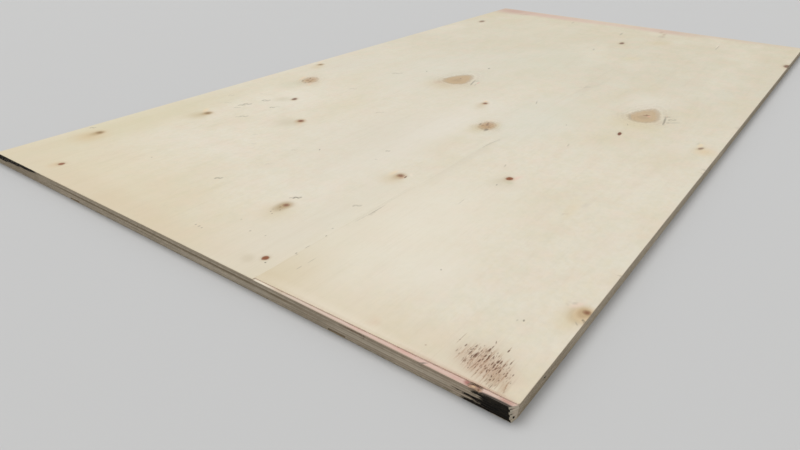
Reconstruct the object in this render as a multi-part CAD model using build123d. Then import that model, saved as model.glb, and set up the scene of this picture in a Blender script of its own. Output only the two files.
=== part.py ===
"""A seven-ply plywood sheet, lying flat, with the wear of a used sheet at its near end.

X runs along the length, Y across the width and Z through the thickness. The origin is the middle of
the underside. The near end is the end at -X, and the near side is the long side at -Y.
"""

import os

from build123d import *

# The whole sheet
sheet_length = 2440.0
sheet_width = 1220.0

# The plies, from the face down: one thin face on six thicker plies
face_thickness = 1.4
ply_thickness = 3.6
under_plies = (
    "upper_crossband",
    "upper_long_ply",
    "centre_crossband",
    "lower_long_ply",
    "lower_crossband",
    "back_ply",
)

# The butt joint between the two face veneers, measured from the near side
joint_at_near_end = 432.0
joint_at_far_end = 442.0

# The stretch where the joint has opened, measured from the near end
open_joint_start = 225.0
open_joint_length = 125.0
open_joint_taper = 31.0
open_joint_gap = 0.9

# The narrow face veneer stops short of the near end by these amounts
ledge_at_corner = 10.0
ledge_at_joint = 5.0

# The broken near corner: how far the break runs along each edge
corner_along_length = 11.0
corner_along_width_top = 7.0
corner_along_width_bottom = 2.5
corner_grain_split = 1.2

# The chips in the back ply, where splinters left with the saw
chip_width = 30.0
chip_depth = 18.0
chip_tooth_depth = 6.0
chip_teeth = 3
near_chip_from_near_side = 252.0
far_chip_from_far_side = 284.0

# The knot that tore out of the bare strip
torn_knot_from_near_end = 5.0
torn_knot_from_near_side = 55.0
torn_knot_length = 14.0
torn_knot_width = 20.0
torn_knot_depth = 2.2

# The loose knot that fell out of the face at the near side
edge_knot_from_far_end = 357.0
edge_knot_length = 34.0
edge_knot_depth = 9.0

# The sliver that left the end of the upper crossband
sliver_from_near_side = 212.0
sliver_length = 55.0
sliver_blunt_taper = 14.0
sliver_sharp_taper = 18.0
sliver_height = 1.6
sliver_depth = 1.5

# The core gap between two strips of the centre crossband
core_gap_from_near_end = 84.0
core_gap_width = 3.0
core_gap_depth = 60.0

# How far a cutter reaches past the face that it opens
overshoot = 4.0

sheet_thickness = face_thickness + ply_thickness * len(under_plies)
near_end = -sheet_length / 2
far_end = sheet_length / 2
near_side = -sheet_width / 2
far_side = sheet_width / 2
face_underside = sheet_thickness - face_thickness


def slab(points, bottom, thickness):
    """A flat solid with the outline of the points, from bottom upwards."""
    outline = Pos(0, 0, bottom) * Polygon(*points, align=None)
    return extrude(outline, amount=thickness)


def ply_outline(bottom, thickness, along_length):
    """The outline of one whole ply, with the near corner broken off.

    The break leans in towards the face, and each ply splits a little further along its own grain.
    """
    depth = (sheet_thickness - bottom - thickness / 2) / sheet_thickness
    along = corner_along_length
    across = corner_along_width_top + depth * (corner_along_width_bottom - corner_along_width_top)
    if along_length:
        along += corner_grain_split
    else:
        across += corner_grain_split
    return [
        (near_end + along, near_side),
        (far_end, near_side),
        (far_end, far_side),
        (near_end, far_side),
        (near_end, near_side + across),
    ]


def whole_ply(bottom, thickness, along_length):
    """One ply over the full sheet."""
    return slab(ply_outline(bottom, thickness, along_length), bottom, thickness)


def joint_y(x):
    """The place of the face joint across the width, at a place along the length."""
    share = (x - near_end) / sheet_length
    return near_side + joint_at_near_end + share * (joint_at_far_end - joint_at_near_end)


def chip_cutter(start):
    """A splinter-shaped notch in the back ply, whose teeth point along the grain."""
    inner = []
    for step in range(chip_teeth * 2 + 1):
        reach = chip_depth - (0 if step % 2 else chip_tooth_depth)
        inner.append((near_end + reach, start + chip_width * step / (chip_teeth * 2)))
    mouth = [(near_end - overshoot, start + chip_width), (near_end - overshoot, start)]
    return slab(inner + mouth, -overshoot, ply_thickness + overshoot)


def torn_knot_cutter(bottom):
    """An oval well over the torn knot, open upwards from bottom."""
    place = Pos(near_end + torn_knot_from_near_end, near_side + torn_knot_from_near_side, bottom)
    oval = place * Ellipse(torn_knot_length / 2, torn_knot_width / 2)
    return extrude(oval, amount=sheet_thickness + overshoot - bottom)


def edge_knot_cutter():
    """Half an oval at the near side, through the face veneer."""
    place = Pos(far_end - edge_knot_from_far_end, near_side, face_underside)
    return extrude(place * Ellipse(edge_knot_length / 2, edge_knot_depth), amount=face_thickness + overshoot)


def open_joint_cutter():
    """The thin lens where the narrow veneer has drawn back from the wide one."""
    start = near_end + open_joint_start
    end = start + open_joint_length
    wide_start = start + open_joint_taper
    wide_end = end - open_joint_taper
    lips = [
        (start, joint_y(start)),
        (wide_start, joint_y(wide_start) - open_joint_gap),
        (wide_end, joint_y(wide_end) - open_joint_gap),
        (end, joint_y(end)),
    ]
    back = [(end, joint_y(end) + overshoot), (start, joint_y(start) + overshoot)]
    return slab(lips + back, face_underside, face_thickness + overshoot)


def face_veneer_wide():
    """The face veneer between the joint and the far side."""
    outline = [
        (near_end, joint_y(near_end)),
        (far_end, joint_y(far_end)),
        (far_end, far_side),
        (near_end, far_side),
    ]
    return slab(outline, face_underside, face_thickness)


def face_veneer_narrow():
    """The face veneer between the near side and the joint, which leaves a ledge at the near end."""
    outline = [
        (near_end + ledge_at_corner, near_side),
        (far_end, near_side),
        (far_end, joint_y(far_end)),
        (near_end + ledge_at_joint, joint_y(near_end + ledge_at_joint)),
    ]
    veneer = slab(outline, face_underside, face_thickness)
    veneer &= whole_ply(face_underside, face_thickness, along_length=True)
    return veneer - open_joint_cutter() - torn_knot_cutter(face_underside) - edge_knot_cutter()


def upper_crossband(ply, bottom):
    """The ply under the face, with the torn knot and the sliver that left its end."""
    start = near_side + sliver_from_near_side
    end = start + sliver_length
    sliver = [
        (near_end - overshoot, start),
        (near_end, start),
        (near_end + sliver_depth, start + sliver_blunt_taper),
        (near_end + sliver_depth, end - sliver_sharp_taper),
        (near_end, end),
        (near_end - overshoot, end),
    ]
    ply -= slab(sliver, bottom - overshoot, sliver_height + overshoot)
    return ply - torn_knot_cutter(face_underside - torn_knot_depth)


def centre_crossband(ply, bottom):
    """The middle ply, with the gap between two of its strips open at the near side."""
    start = near_end + core_gap_from_near_end
    gap = [
        (start, near_side - overshoot),
        (start + core_gap_width, near_side - overshoot),
        (start + core_gap_width, near_side),
        (start + core_gap_width / 2, near_side + core_gap_depth),
        (start, near_side),
    ]
    return ply - slab(gap, bottom - overshoot, ply_thickness + overshoot * 2)


def back_ply(ply, bottom):
    """The lowest ply, with a chip near each side of its near end."""
    ply -= chip_cutter(near_side + near_chip_from_near_side)
    return ply - chip_cutter(far_side - far_chip_from_far_side - chip_width)


finish = {
    "upper_crossband": upper_crossband,
    "centre_crossband": centre_crossband,
    "back_ply": back_ply,
}

nodes = {
    "face_veneer_wide": face_veneer_wide(),
    "face_veneer_narrow": face_veneer_narrow(),
}
for index, name in enumerate(under_plies):
    ply_bottom = face_underside - ply_thickness * (index + 1)
    solid = whole_ply(ply_bottom, ply_thickness, along_length=index % 2 == 1)
    if name in finish:
        solid = finish[name](solid, ply_bottom)
    nodes[name] = solid

os.makedirs("parts", exist_ok=True)
for name, solid in nodes.items():
    export_step(solid, f"parts/{name}.step")
    print(f"{name}: {solid.volume / 1000:.1f} cm3")
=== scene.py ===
"""Dresses the plywood sheet: seven plies under and in a two-piece face, with its knots, stains and wear.

The wear is placed in plan millimetres: x from the near end, y from the near side and z from the underside.
Meshes and materials are in metres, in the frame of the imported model.
"""

import logging
import math
from collections.abc import Sequence
from dataclasses import dataclass, field
from enum import Enum

import bpy
import numpy as np
from mathutils import Euler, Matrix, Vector
from mathutils.geometry import delaunay_2d_cdt


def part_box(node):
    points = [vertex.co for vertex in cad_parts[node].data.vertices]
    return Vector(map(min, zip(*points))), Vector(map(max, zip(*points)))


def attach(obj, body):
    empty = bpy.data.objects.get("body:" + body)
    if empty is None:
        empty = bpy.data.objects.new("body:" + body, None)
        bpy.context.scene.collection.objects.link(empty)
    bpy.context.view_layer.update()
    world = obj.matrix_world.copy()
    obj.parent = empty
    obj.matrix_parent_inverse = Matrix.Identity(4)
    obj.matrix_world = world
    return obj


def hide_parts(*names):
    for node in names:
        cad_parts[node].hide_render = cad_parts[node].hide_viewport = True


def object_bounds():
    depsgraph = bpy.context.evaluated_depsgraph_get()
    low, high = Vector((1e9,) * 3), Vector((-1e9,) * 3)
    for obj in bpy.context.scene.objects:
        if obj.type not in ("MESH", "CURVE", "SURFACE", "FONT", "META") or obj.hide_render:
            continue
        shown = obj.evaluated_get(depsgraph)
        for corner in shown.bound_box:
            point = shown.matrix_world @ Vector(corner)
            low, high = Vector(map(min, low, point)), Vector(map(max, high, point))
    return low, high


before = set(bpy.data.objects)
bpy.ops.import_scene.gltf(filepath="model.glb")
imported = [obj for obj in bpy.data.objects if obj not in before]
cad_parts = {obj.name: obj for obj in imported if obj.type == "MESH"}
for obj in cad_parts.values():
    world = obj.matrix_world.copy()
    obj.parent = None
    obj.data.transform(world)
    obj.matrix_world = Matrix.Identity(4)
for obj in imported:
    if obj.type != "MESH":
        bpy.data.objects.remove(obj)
CAD_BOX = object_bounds()

LOG = logging.getLogger("plywood_sheet")
MM = 0.001
# The radius of places that are far from every knot
NOWHERE = 9.0

Array = np.ndarray
Socket = bpy.types.NodeSocket
Plan = tuple[float, float]


class Side(Enum):
    """The upright sides that a ply can have."""

    NEAR_SIDE = "near_side"
    FAR_END = "far_end"
    FAR_SIDE = "far_side"
    NEAR_END = "near_end"
    CORNER = "corner"
    JOINT = "joint"


class Grain(Enum):
    """The way that the fibres of a ply run."""

    LENGTH = "length"
    WIDTH = "width"


class KnotKind(Enum):
    """The kinds of knot in the face."""

    PIN = "pin"
    SHADED = "shaded"
    BLURRED = "blurred"
    DARK = "dark"
    OVAL = "oval"
    TEARDROP = "teardrop"
    SLIVER = "sliver"


class Tone(Enum):
    """The colours of the small marks on the face."""

    GREY = "857c6b"
    SMUDGE = "b0a793"
    SOOT = "57503f"
    BURN = "5f3a22"
    SINGE = "a07a5a"
    PINK = "e0aa96"
    RUST = "8a5a42"
    PALE = "f0e6d6"


def linear(hexed: str) -> tuple[float, float, float, float]:
    """Turns a written colour into the linear values that Blender takes.

    Args:
        hexed: Six hexadecimal digits, as they show on a screen.

    Returns:
        Red, green, blue and an alpha of one.
    """
    shares = [int(hexed[i : i + 2], 16) / 255 for i in (0, 2, 4)]
    red, green, blue = (s / 12.92 if s <= 0.04045 else ((s + 0.055) / 1.055) ** 2.4 for s in shares)
    return red, green, blue, 1.0


def ramp(value: Array, start: float, end: float) -> Array:
    """A smooth step from 0 at start to 1 at end, which may lie below start."""
    share = np.clip((np.asarray(value, float) - start) / (end - start), 0.0, 1.0)
    return share * share * (3.0 - 2.0 * share)


def turned(x: Array, y: Array, centre: Plan, degrees: float) -> tuple[Array, Array]:
    """Gives places relative to a centre, along and across a direction.

    Args:
        x: Places along the length.
        y: Places across the width.
        centre: The centre.
        degrees: How far the direction is turned from the length.

    Returns:
        The distance along the direction and the distance across it.
    """
    angle = math.radians(degrees)
    dx = x - centre[0]
    dy = y - centre[1]
    return dx * math.cos(angle) + dy * math.sin(angle), dy * math.cos(angle) - dx * math.sin(angle)


def grid_points(columns: Array, rows: Array) -> Array:
    """Every pair of a column and a row."""
    return np.stack(np.meshgrid(columns, rows), axis=-1).reshape(-1, 2)


def inset(share: Array, low: float = 0.0, high: float = 1.0, gap: float = 0.002) -> Array:
    """Spreads shares from 0 to 1 over a band of a map, clear of the band's edges by the gap."""
    return low + gap + (high - low - 2 * gap) * share


def add_object(name: str, data: bpy.types.ID) -> bpy.types.Object:
    """Makes an object of the data and links it to the scene."""
    made = bpy.data.objects.new(name, data)
    bpy.context.scene.collection.objects.link(made)
    return made


class Lattice:
    """Smooth noise that is the same in every run."""

    SIZE = 512

    def __init__(self, seed: int) -> None:
        """Fills the lattice from a fixed seed."""
        self.values = np.random.default_rng(seed).random((self.SIZE, self.SIZE))

    def at(self, u: Array, v: Array) -> Array:
        """Reads the noise.

        Args:
            u: Places in the first direction, in lattice steps.
            v: Places in the second direction, in lattice steps.

        Returns:
            Values from 0 to 1.
        """
        u, v = np.broadcast_arrays(np.asarray(u, float), np.asarray(v, float))
        i = np.floor(u).astype(int)
        j = np.floor(v).astype(int)
        a = ramp(u - i, 0.0, 1.0)
        b = ramp(v - j, 0.0, 1.0)
        i0, i1, j0, j1 = i % self.SIZE, (i + 1) % self.SIZE, j % self.SIZE, (j + 1) % self.SIZE
        low = self.values[i0, j0] * (1 - a) + self.values[i1, j0] * a
        high = self.values[i0, j1] * (1 - a) + self.values[i1, j1] * a
        return low * (1 - b) + high * b

    def octaves(self, u: Array, v: Array | float, count: int = 3) -> Array:
        """Adds up finer and finer noise, each half as strong as the last."""
        total = 0.0
        weight = 0.0
        for step in range(count):
            share = 0.5**step
            total = total + share * self.at(u * 2.0**step + 17.3 * step, v * 2.0**step + 5.1 * step)
            weight += share
        return total / weight


GLUE_NOISE = Lattice(5)


@dataclass(frozen=True)
class Sheet:
    """The sheet's driving sizes, in millimetres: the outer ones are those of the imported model."""

    length: float
    width: float
    thickness: float
    joint_at_near_end: float = 432.0
    joint_at_far_end: float = 442.0
    ledge_at_corner: float = 10.0
    ledge_at_joint: float = 5.0
    corner_along: float = 11.0
    corner_across_top: float = 7.0
    corner_across_bottom: float = 2.5
    corner_grain_split: float = 1.2
    edge_knot: float = 2083.0
    chip_width: float = 30.0
    near_chip: float = 252.0
    far_chip: float = 906.0

    @classmethod
    def from_frame(cls) -> "Sheet":
        """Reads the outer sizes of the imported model."""
        low, high = (Vector(v) for v in CAD_BOX)
        return cls(*(round(v, 3) for v in (high - low) / MM))

    def joint(self, x: Array) -> Array:
        """The place of the face joint across the width, at a place along the length."""
        return self.joint_at_near_end + x / self.length * (self.joint_at_far_end - self.joint_at_near_end)

    def joint_bow(self, x: Array) -> Array:
        """How far the joint bows towards the near side, because neither veneer's edge is quite straight."""
        return np.interp(x, (60, 230, 280, 345, 700, 1000), (0, 3.2, 6.8, 7, 5, 0))

    def row(self, plan: Array) -> Array:
        """Turns plan millimetres into metres of the row frame."""
        return (plan - np.array([self.length / 2, self.width / 2, 0.0])) * MM


@dataclass(frozen=True)
class Spot:
    """An oval place on the face, whose long axis is turned from the length by turn, in degrees."""

    x: float
    y: float
    length: float
    width: float

    turn = 0.0

    def local(self, x: Array, y: Array) -> tuple[Array, Array]:
        """How far places lie from the middle, along and across the spot."""
        return turned(x, y, (self.x, self.y), self.turn)

    def radius(self, x: Array, y: Array) -> Array:
        """How far places lie from the middle, where 1 is the outline."""
        u, v = self.local(x, y)
        return np.sqrt((u / (self.length / 2)) ** 2 + (v / (self.width / 2)) ** 2)


@dataclass(frozen=True)
class KnotLook:
    """How one kind of knot looks.

    The colour is that of the core. The rim is the dark line round it, the halo the stain beyond, and the
    speckle the broken dark flecks in it. A soft core fades outwards from its middle.
    """

    colour: str
    strength: float
    rim: float
    halo: float
    speckle: float
    reach: float
    soft: float


KNOT_LOOKS = {
    KnotKind.PIN: KnotLook("874a22", 1.0, 0.4, 0.4, 0.1, 1.9, 0.15),
    KnotKind.SHADED: KnotLook("7a421f", 0.97, 0.2, 0.7, 0.2, 2.4, 0.6),
    KnotKind.BLURRED: KnotLook("84663a", 0.85, 0.1, 0.7, 0.25, 2.2, 0.8),
    KnotKind.DARK: KnotLook("6b3f22", 1.0, 0.35, 0.5, 0.25, 2.0, 0.3),
    KnotKind.OVAL: KnotLook("b6926a", 0.75, 0.12, 0.35, 1.0, 1.5, 0.4),
    KnotKind.TEARDROP: KnotLook("c0a682", 0.95, 0.2, 0.35, 0.3, 1.25, 0.1),
    KnotKind.SLIVER: KnotLook("6e3612", 1.0, 0.25, 0.2, 0.1, 1.6, 0.15),
}


@dataclass(frozen=True)
class Knot(Spot):
    """One knot of the face, with the tail that the peeling left behind it."""

    kind: KnotKind
    tail: float = 0.0
    turn: float = 0.0
    strength: float = 1.0

    def radius(self, x: Array, y: Array) -> Array:
        """How far places lie from the middle, where 1 is the outline; a teardrop is blunt at its far end."""
        if self.kind is not KnotKind.TEARDROP:
            return super().radius(x, y)
        u, v = self.local(x, y)
        u = np.abs(u) / (self.length / 2) * np.where(u > 0, 0.77, 1.43)
        v = np.abs(v) / (self.width / 2)
        power = np.where(x > self.x, 1.5, 2.0)
        return (u**power + v**power) ** (1 / power)

    def tail_mask(self, x: Array, y: Array) -> Array:
        """The stained wedge on the near-end side of the knot."""
        if not self.tail:
            return np.zeros_like(x)
        u, v = self.local(x, y)
        share = np.clip(-u / self.tail, 0.0, 1.0)
        spread = self.width / 2 * (1.0 + 1.1 * share)
        return (u < 0) * (1.0 - share) ** 1.3 * np.exp(-((v / spread) ** 2))

    def flow(self, x: Array, y: Array) -> Array:
        """How far the grain is pushed aside."""
        u, v = self.local(x, y)
        half = self.width / 2 * 1.15
        return v * half**2 / (0.12 * u**2 + v**2 + half**2)


@dataclass(frozen=True)
class Mark(Spot):
    """A small dark or pale mark along the grain: a fleck, a crack or a burnt fibre."""

    tone: Tone
    strength: float = 0.9
    turn: float = 0.0
    depth: float = 0.12

    def mask(self, x: Array, y: Array) -> Array:
        """One in the middle of the mark, fading to nothing past its outline."""
        rim = 1.3 if self.tone is Tone.BURN else 1.5
        return self.strength * ramp(self.radius(x, y), rim, 0.6)


@dataclass(frozen=True)
class Blot(Spot):
    """A broad soft stain."""

    colour: str
    strength: float
    turn: float = 0.0
    soft: float = 1.0

    def mask(self, x: Array, y: Array) -> Array:
        """One in the middle of the blot, fading over its soft border."""
        return self.strength * ramp(self.radius(x, y), 1.0 + self.soft / 2, 1.0 - self.soft)


K = KnotKind
KNOTS = (
    Knot(57, 461, 14, 11.5, K.PIN),
    Knot(218, 566, 14, 12, K.SHADED, tail=46, strength=0.82),
    Knot(470, 481, 17, 15, K.SHADED, tail=38, strength=0.82),
    Knot(216, 1163, 18, 15, K.BLURRED, tail=46),
    Knot(477, 1083, 19, 16, K.BLURRED, tail=50),
    Knot(56, 1057, 14, 12, K.PIN, tail=14, strength=0.9),
    Knot(588, 863, 18, 15, K.SHADED, tail=36, turn=14),
    Knot(712, 998, 21, 13, K.DARK, tail=22, turn=14, strength=0.9),
    Knot(885, 1091, 66, 42, K.OVAL, tail=75, turn=18, strength=0.85),
    Knot(1044, 1187, 20, 14, K.BLURRED, tail=22, strength=0.95),
    Knot(866, 491, 62, 38, K.OVAL, tail=40, turn=10),
    Knot(1028, 582, 17, 12, K.SHADED, tail=30, strength=0.95),
    Knot(1178, 758, 124, 72, K.TEARDROP, tail=60, turn=-2),
    Knot(1197, 212, 132, 70, K.TEARDROP, tail=58, turn=-2, strength=0.86),
    Knot(1028, 218, 27, 9, K.SLIVER, turn=10),
    Knot(1052, 40, 20, 9, K.DARK, tail=26, turn=-14, strength=0.65),
    Knot(603, 302, 18, 14, K.PIN, tail=32),
    Knot(242, 6, 12, 11, K.SHADED, tail=24, strength=0.78),
    Knot(2053, 546, 40, 16, K.DARK, tail=30, turn=6, strength=0.8),
    Knot(2070, 1148, 45, 20, K.DARK, tail=20, turn=10, strength=0.6),
    Knot(2083, 3, 46, 22, K.DARK, strength=0.95),
    Knot(1223, 211, 15, 12, K.SHADED, strength=0.85),
    Knot(1206, 760, 19, 12, K.SHADED, strength=0.7),
)

T = Tone
# Singed streaks and burnt clots at the near corner: place, length, width, strength and, if any, turn
STREAKS = (
    (77, 115, 26, 1.0, 0.5), (43, 86, 6, 1.0, 0.6, -24), (42.7, 81, 8, 1.0, 0.5),
    (35.5, 72.8, 25, 1.0, 0.6), (29, 66.8, 26, 1.0, 0.6), (37, 62, 22, 1.0, 0.6, 3), (24, 51, 8, 1.2, 0.6),
    (75, 40.4, 16, 1.0, 0.6), (97, 53.8, 10, 1.0, 0.6), (25, 25.4, 23, 1.2, 0.7, 10),
    (33.4, 27, 8, 1.1, 0.6), (45, 29.4, 8, 1.1, 0.6), (21, 35, 12, 1.0, 0.4), (58, 84, 30, 1.0, 0.4),
    (62, 73, 70, 1.0, 0.35), (58, 92, 32, 1.0, 0.35), (46, 46, 44, 1.0, 0.35), (44, 57, 34, 1.0, 0.35, 4),
)
CLOTS = (
    (58, 91, 8, 2.8, 0.85), (65.6, 92.6, 5, 2.2, 0.8, -30), (67.4, 90.6, 3, 1.8, 0.7, -50),
    (75, 91.4, 5, 2.2, 0.8), (53.8, 86.6, 3, 2.2, 0.8), (57.7, 83.6, 9, 3.6, 1.0),
    (67.7, 103, 5, 2.6, 0.85), (51, 107, 5, 2.4, 0.5), (47, 101.6, 4, 2.2, 0.5), (43, 93, 3, 1.8, 0.5),
    (38, 90, 3, 1.8, 0.45), (50.6, 86, 3, 2, 0.5), (30, 79, 3, 2, 0.5), (70.6, 81, 3, 1.8, 0.5),
    (62, 78.7, 3, 1.8, 0.5), (82, 83.4, 3, 1.8, 0.5), (51, 74.3, 5.5, 3, 0.95), (56.3, 72.3, 4.5, 2.4, 0.9),
    (53.8, 68.7, 3, 2, 0.6), (65, 72.6, 5, 2.4, 0.9), (72, 76, 3, 2, 0.5), (78.8, 74.1, 6.5, 3.4, 0.95),
    (86.6, 73.4, 6, 1.8, 0.8), (98.4, 74.8, 5, 2, 0.75, 20), (36.3, 72.6, 5, 1.8, 0.75),
    (61.6, 68, 5, 2.2, 0.9), (67, 68.7, 5, 2.2, 0.85), (27, 66.6, 4, 1.8, 0.7), (33.4, 67.1, 4, 1.8, 0.7),
    (41, 66.4, 4, 1.8, 0.7), (68, 63, 6, 2.2, 0.85, 15), (46.3, 63.7, 4, 2, 0.75),
    (42.4, 61.4, 4, 2.2, 0.8), (79, 62.6, 4, 1.8, 0.5), (52.7, 61.2, 4, 1.8, 0.5),
    (38.8, 57.6, 5, 2, 0.8, 20), (56.6, 58.9, 6.5, 2, 0.85), (75, 59, 3, 1.8, 0.45),
    (42.4, 55.4, 3.2, 2, 0.75), (54.9, 55.1, 6, 3, 0.95), (50.6, 54.4, 4, 3, 0.85),
    (49.9, 50.9, 5, 2.6, 0.9), (56.6, 51.9, 3, 1.8, 0.75), (63.8, 54.4, 6, 4, 1.0),
    (65.4, 50.9, 6, 2.6, 0.95), (92.4, 53.7, 5.5, 2.8, 0.95), (33.4, 52.6, 3, 2, 0.45),
    (45, 52, 3, 1.8, 0.7), (34.5, 48.7, 4, 2, 0.8, 20), (27.4, 46.9, 3.6, 2.5, 0.8),
    (30.2, 43.7, 4, 2, 0.75), (42.4, 46, 3, 1.8, 0.7), (48.4, 44.8, 5, 2.4, 0.85),
    (54.9, 47.3, 4.5, 2, 0.8), (63, 45.4, 7, 2, 0.8), (42.7, 42.3, 3, 1.8, 0.5), (55.6, 43, 3, 1.8, 0.45),
    (72, 40.4, 6, 2.2, 0.85), (17, 40.5, 8, 1.8, 0.6), (32.7, 38, 3.2, 2, 0.7), (47.7, 38.4, 4, 1.8, 0.75),
    (45.6, 34.8, 4, 2.8, 0.85), (51, 35.5, 4, 2, 0.75), (58.4, 35.5, 4, 2, 0.4), (62, 38.7, 4, 2, 0.4),
    (52.7, 28.4, 4, 2, 0.8), (37, 24.4, 3, 1.8, 0.5), (72.7, 115, 3, 2, 0.6),
)

# Scribbles in the veneer: place along and across, size, tone and share
SMEARS = (
    (596, 1062, 24, T.GREY, 0.6), (580, 1066, 20, T.GREY, 0.5), (558, 1060, 18, T.SMUDGE, 0.55),
    (520, 996, 22, T.SMUDGE, 0.65), (508, 1004, 14, T.SMUDGE, 0.5), (653, 1048, 24, T.GREY, 0.55),
    (644, 1040, 16, T.SMUDGE, 0.5), (620, 992, 15, T.GREY, 0.65), (633, 984, 12, T.SMUDGE, 0.45),
    (622, 1153, 16, T.SMUDGE, 0.5), (687, 1100, 8, T.GREY, 0.5), (220, 754, 17, T.GREY, 0.7),
    (255, 572, 17, T.GREY, 0.85), (247, 580, 8, T.GREY, 0.7), (302, 464, 18, T.SMUDGE, 0.6),
    (565, 580, 11, T.GREY, 0.7), (508, 571, 6, T.GREY, 0.5), (400, 838, 10, T.SMUDGE, 0.4),
    (447, 879, 10, T.SMUDGE, 0.4), (433, 742, 14, T.SMUDGE, 0.35), (338, 729, 14, T.SMUDGE, 0.3),
    (897, 938, 22, T.SMUDGE, 0.4), (773, 753, 22, T.SMUDGE, 0.35), (1123, 939, 34, T.SMUDGE, 0.45),
    (571, 1110, 18, T.SMUDGE, 0.35), (224, 1204, 14, T.SOOT, 0.45), (2361, 490, 16, T.RUST, 0.55),
    (523, 151, 14, T.SINGE, 0.2), (1224, 148, 24, T.GREY, 0.45),
)

# Single marks: place, length, width, tone, strength and turn
FLECKS = (
    (471, 701, 8, 2.6, T.GREY, 0.65, 30), (60, 634, 4, 3, T.GREY, 0.5), (60, 625, 6, 3.5, T.GREY, 0.4),
    (59, 617, 4, 3, T.GREY, 0.5), (105, 545, 5, 3, T.GREY, 0.5), (110, 513, 4, 2.5, T.GREY, 0.4),
    (203, 442, 5, 2.5, T.GREY, 0.4), (200, 945, 6, 3, T.GREY, 0.4, 35), (208, 226, 4, 2.4, T.GREY, 0.6, 20),
    (167, 67.5, 5, 2.4, T.SOOT, 0.7, 15), (162, 75, 5, 2, T.GREY, 0.35), (125, 588, 4, 2.4, T.GREY, 0.4),
    (1205, 882, 12, 3, T.SOOT, 0.5, 30), (1130, 478, 34, 3, T.GREY, 0.45, 18),
    (660, 340, 16, 3, T.GREY, 0.35, 12), (870, 284, 18, 3, T.GREY, 0.35, 8), (862, 286, 6, 3, T.PALE, 0.6),
    (1110, 225, 14, 2.5, T.GREY, 0.4, 20), (1003, 342, 14, 2.5, T.GREY, 0.3, 20),
    (445, 324, 34, 1.8, T.GREY, 0.3, 4), (558, 308, 7, 2.4, T.SOOT, 0.5, 10),
)
POCKETS_AND_CHECKS = (
    # The bark pockets beside the knots
    (470, 469, 12, 3.6, T.BURN, 0.8, 10), (181, 570, 4, 2, T.BURN, 0.7), (176, 562, 3.5, 2, T.BURN, 0.6),
    (196, 561, 4, 2, T.BURN, 0.65), (205, 569, 5, 3, T.BURN, 0.5), (190, 573, 3, 2, T.BURN, 0.5),
    (47, 451, 3.4, 2.8, T.SOOT, 0.75), (220, 3, 6, 4, T.SOOT, 0.75, 40), (207, 8, 10, 2.4, T.GREY, 0.4, 40),
    (839, 479, 16, 9, T.SOOT, 0.55, 10), (829, 478, 10, 5, T.GREY, 0.5),
    (866, 510, 16, 5, T.SOOT, 0.45, 15), (884, 498, 18, 5, T.BURN, 0.45, 15),
    (860, 500, 10, 4, T.BURN, 0.4, -20), (860, 484, 12, 3, T.BURN, 0.3, 10),
    (897, 1103, 20, 4, T.BURN, 0.5, 30), (870, 1080, 22, 5, T.BURN, 0.5, 10),
    (862, 1102, 14, 5, T.BURN, 0.5, 20), (851, 1082, 14, 4, T.SOOT, 0.3, 20),
    (889, 1088, 12, 4, T.BURN, 0.3, 10), (877, 1096, 14, 8, T.BURN, 0.45, 10),
    (872, 494, 13, 8, T.BURN, 0.55, 10), (1191, 709, 58, 4.5, T.GREY, 0.6, 14),
    (1170, 702, 24, 3, T.SOOT, 0.4, 12), (1213, 706, 14, 5, T.SOOT, 0.4, -30),
    (1196, 694, 26, 6, T.PINK, 0.45, 8), (1172, 691, 18, 4, T.SMUDGE, 0.5, 12),
    (1204, 161, 72, 4.5, T.GREY, 0.7, 10), (1180, 158, 30, 3, T.SOOT, 0.45, 8),
    (1241, 164, 18, 6, T.SOOT, 0.45, -50), (1192, 150, 13, 5, T.GREY, 0.5, -45),
    (1243, 166, 12, 4, T.PINK, 0.5), (1204, 136, 28, 5, T.GREY, 0.4, -45),
    (1178, 240, 44, 4, T.SMUDGE, 0.7, 18), (1217, 210, 19, 4.5, T.RUST, 0.85, -45),
    (1212, 202, 10, 6, T.PINK, 0.85, -45), (1372, 750, 15, 6, T.GREY, 0.6, 15),
    (1877, 590, 30, 6, T.GREY, 0.35, 12), (2225, 604, 50, 7, T.GREY, 0.4, 6),
    (2220, 249, 90, 4, T.GREY, 0.35, 3), (2250, 255, 60, 4, T.PALE, 0.6, 3),
    (2320, 842, 40, 8, T.GREY, 0.3, 10),
    # Checks and dashes by the joint
    (70, 400, 12, 1.8, T.GREY, 0.45), (99, 399, 18, 1.6, T.GREY, 0.4), (317, 425.2, 60, 1.8, T.SOOT, 0.42),
    (261, 427.2, 48, 1.6, T.SOOT, 0.2, -2), (229, 430.8, 9, 2.2, T.SOOT, 0.3),
    (175, 432.6, 6, 3, T.GREY, 0.7, 30), (127, 432.6, 12, 2.4, T.GREY, 0.6),
    (99, 432.6, 6, 3, T.GREY, 0.8, 20), (1565, 441, 230, 5, T.SMUDGE, 0.14),
    (756, 427, 84, 3, T.GREY, 0.3, -4), (728, 429, 14, 4, T.SOOT, 0.3, -4),
    (1372, 430, 34, 14, T.SMUDGE, 0.3, -30), (2340, 470, 16, 6, T.RUST, 0.4, -45),
    (34, 144, 3, 2, T.SINGE, 0.6),
)


def smear(x: float, y: float, size: float, tone: Tone, share: float) -> tuple[Mark, ...]:
    """One scribble: a stroke out, one back and one out again.

    Args:
        x: The middle along the length.
        y: The middle across the width.
        size: How far it reaches.
        tone: Its colour.
        share: How much it covers.

    Returns:
        The three strokes.
    """
    step = 0.24 * size
    return (
        Mark(x - step, y + step, 0.5 * size, 0.24 * size, tone, share, 5),
        Mark(x, y, 0.55 * size, 0.24 * size, tone, share, -90),
        Mark(x + step, y - step, 0.45 * size, 0.24 * size, tone, 0.8 * share, 0),
    )


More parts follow.
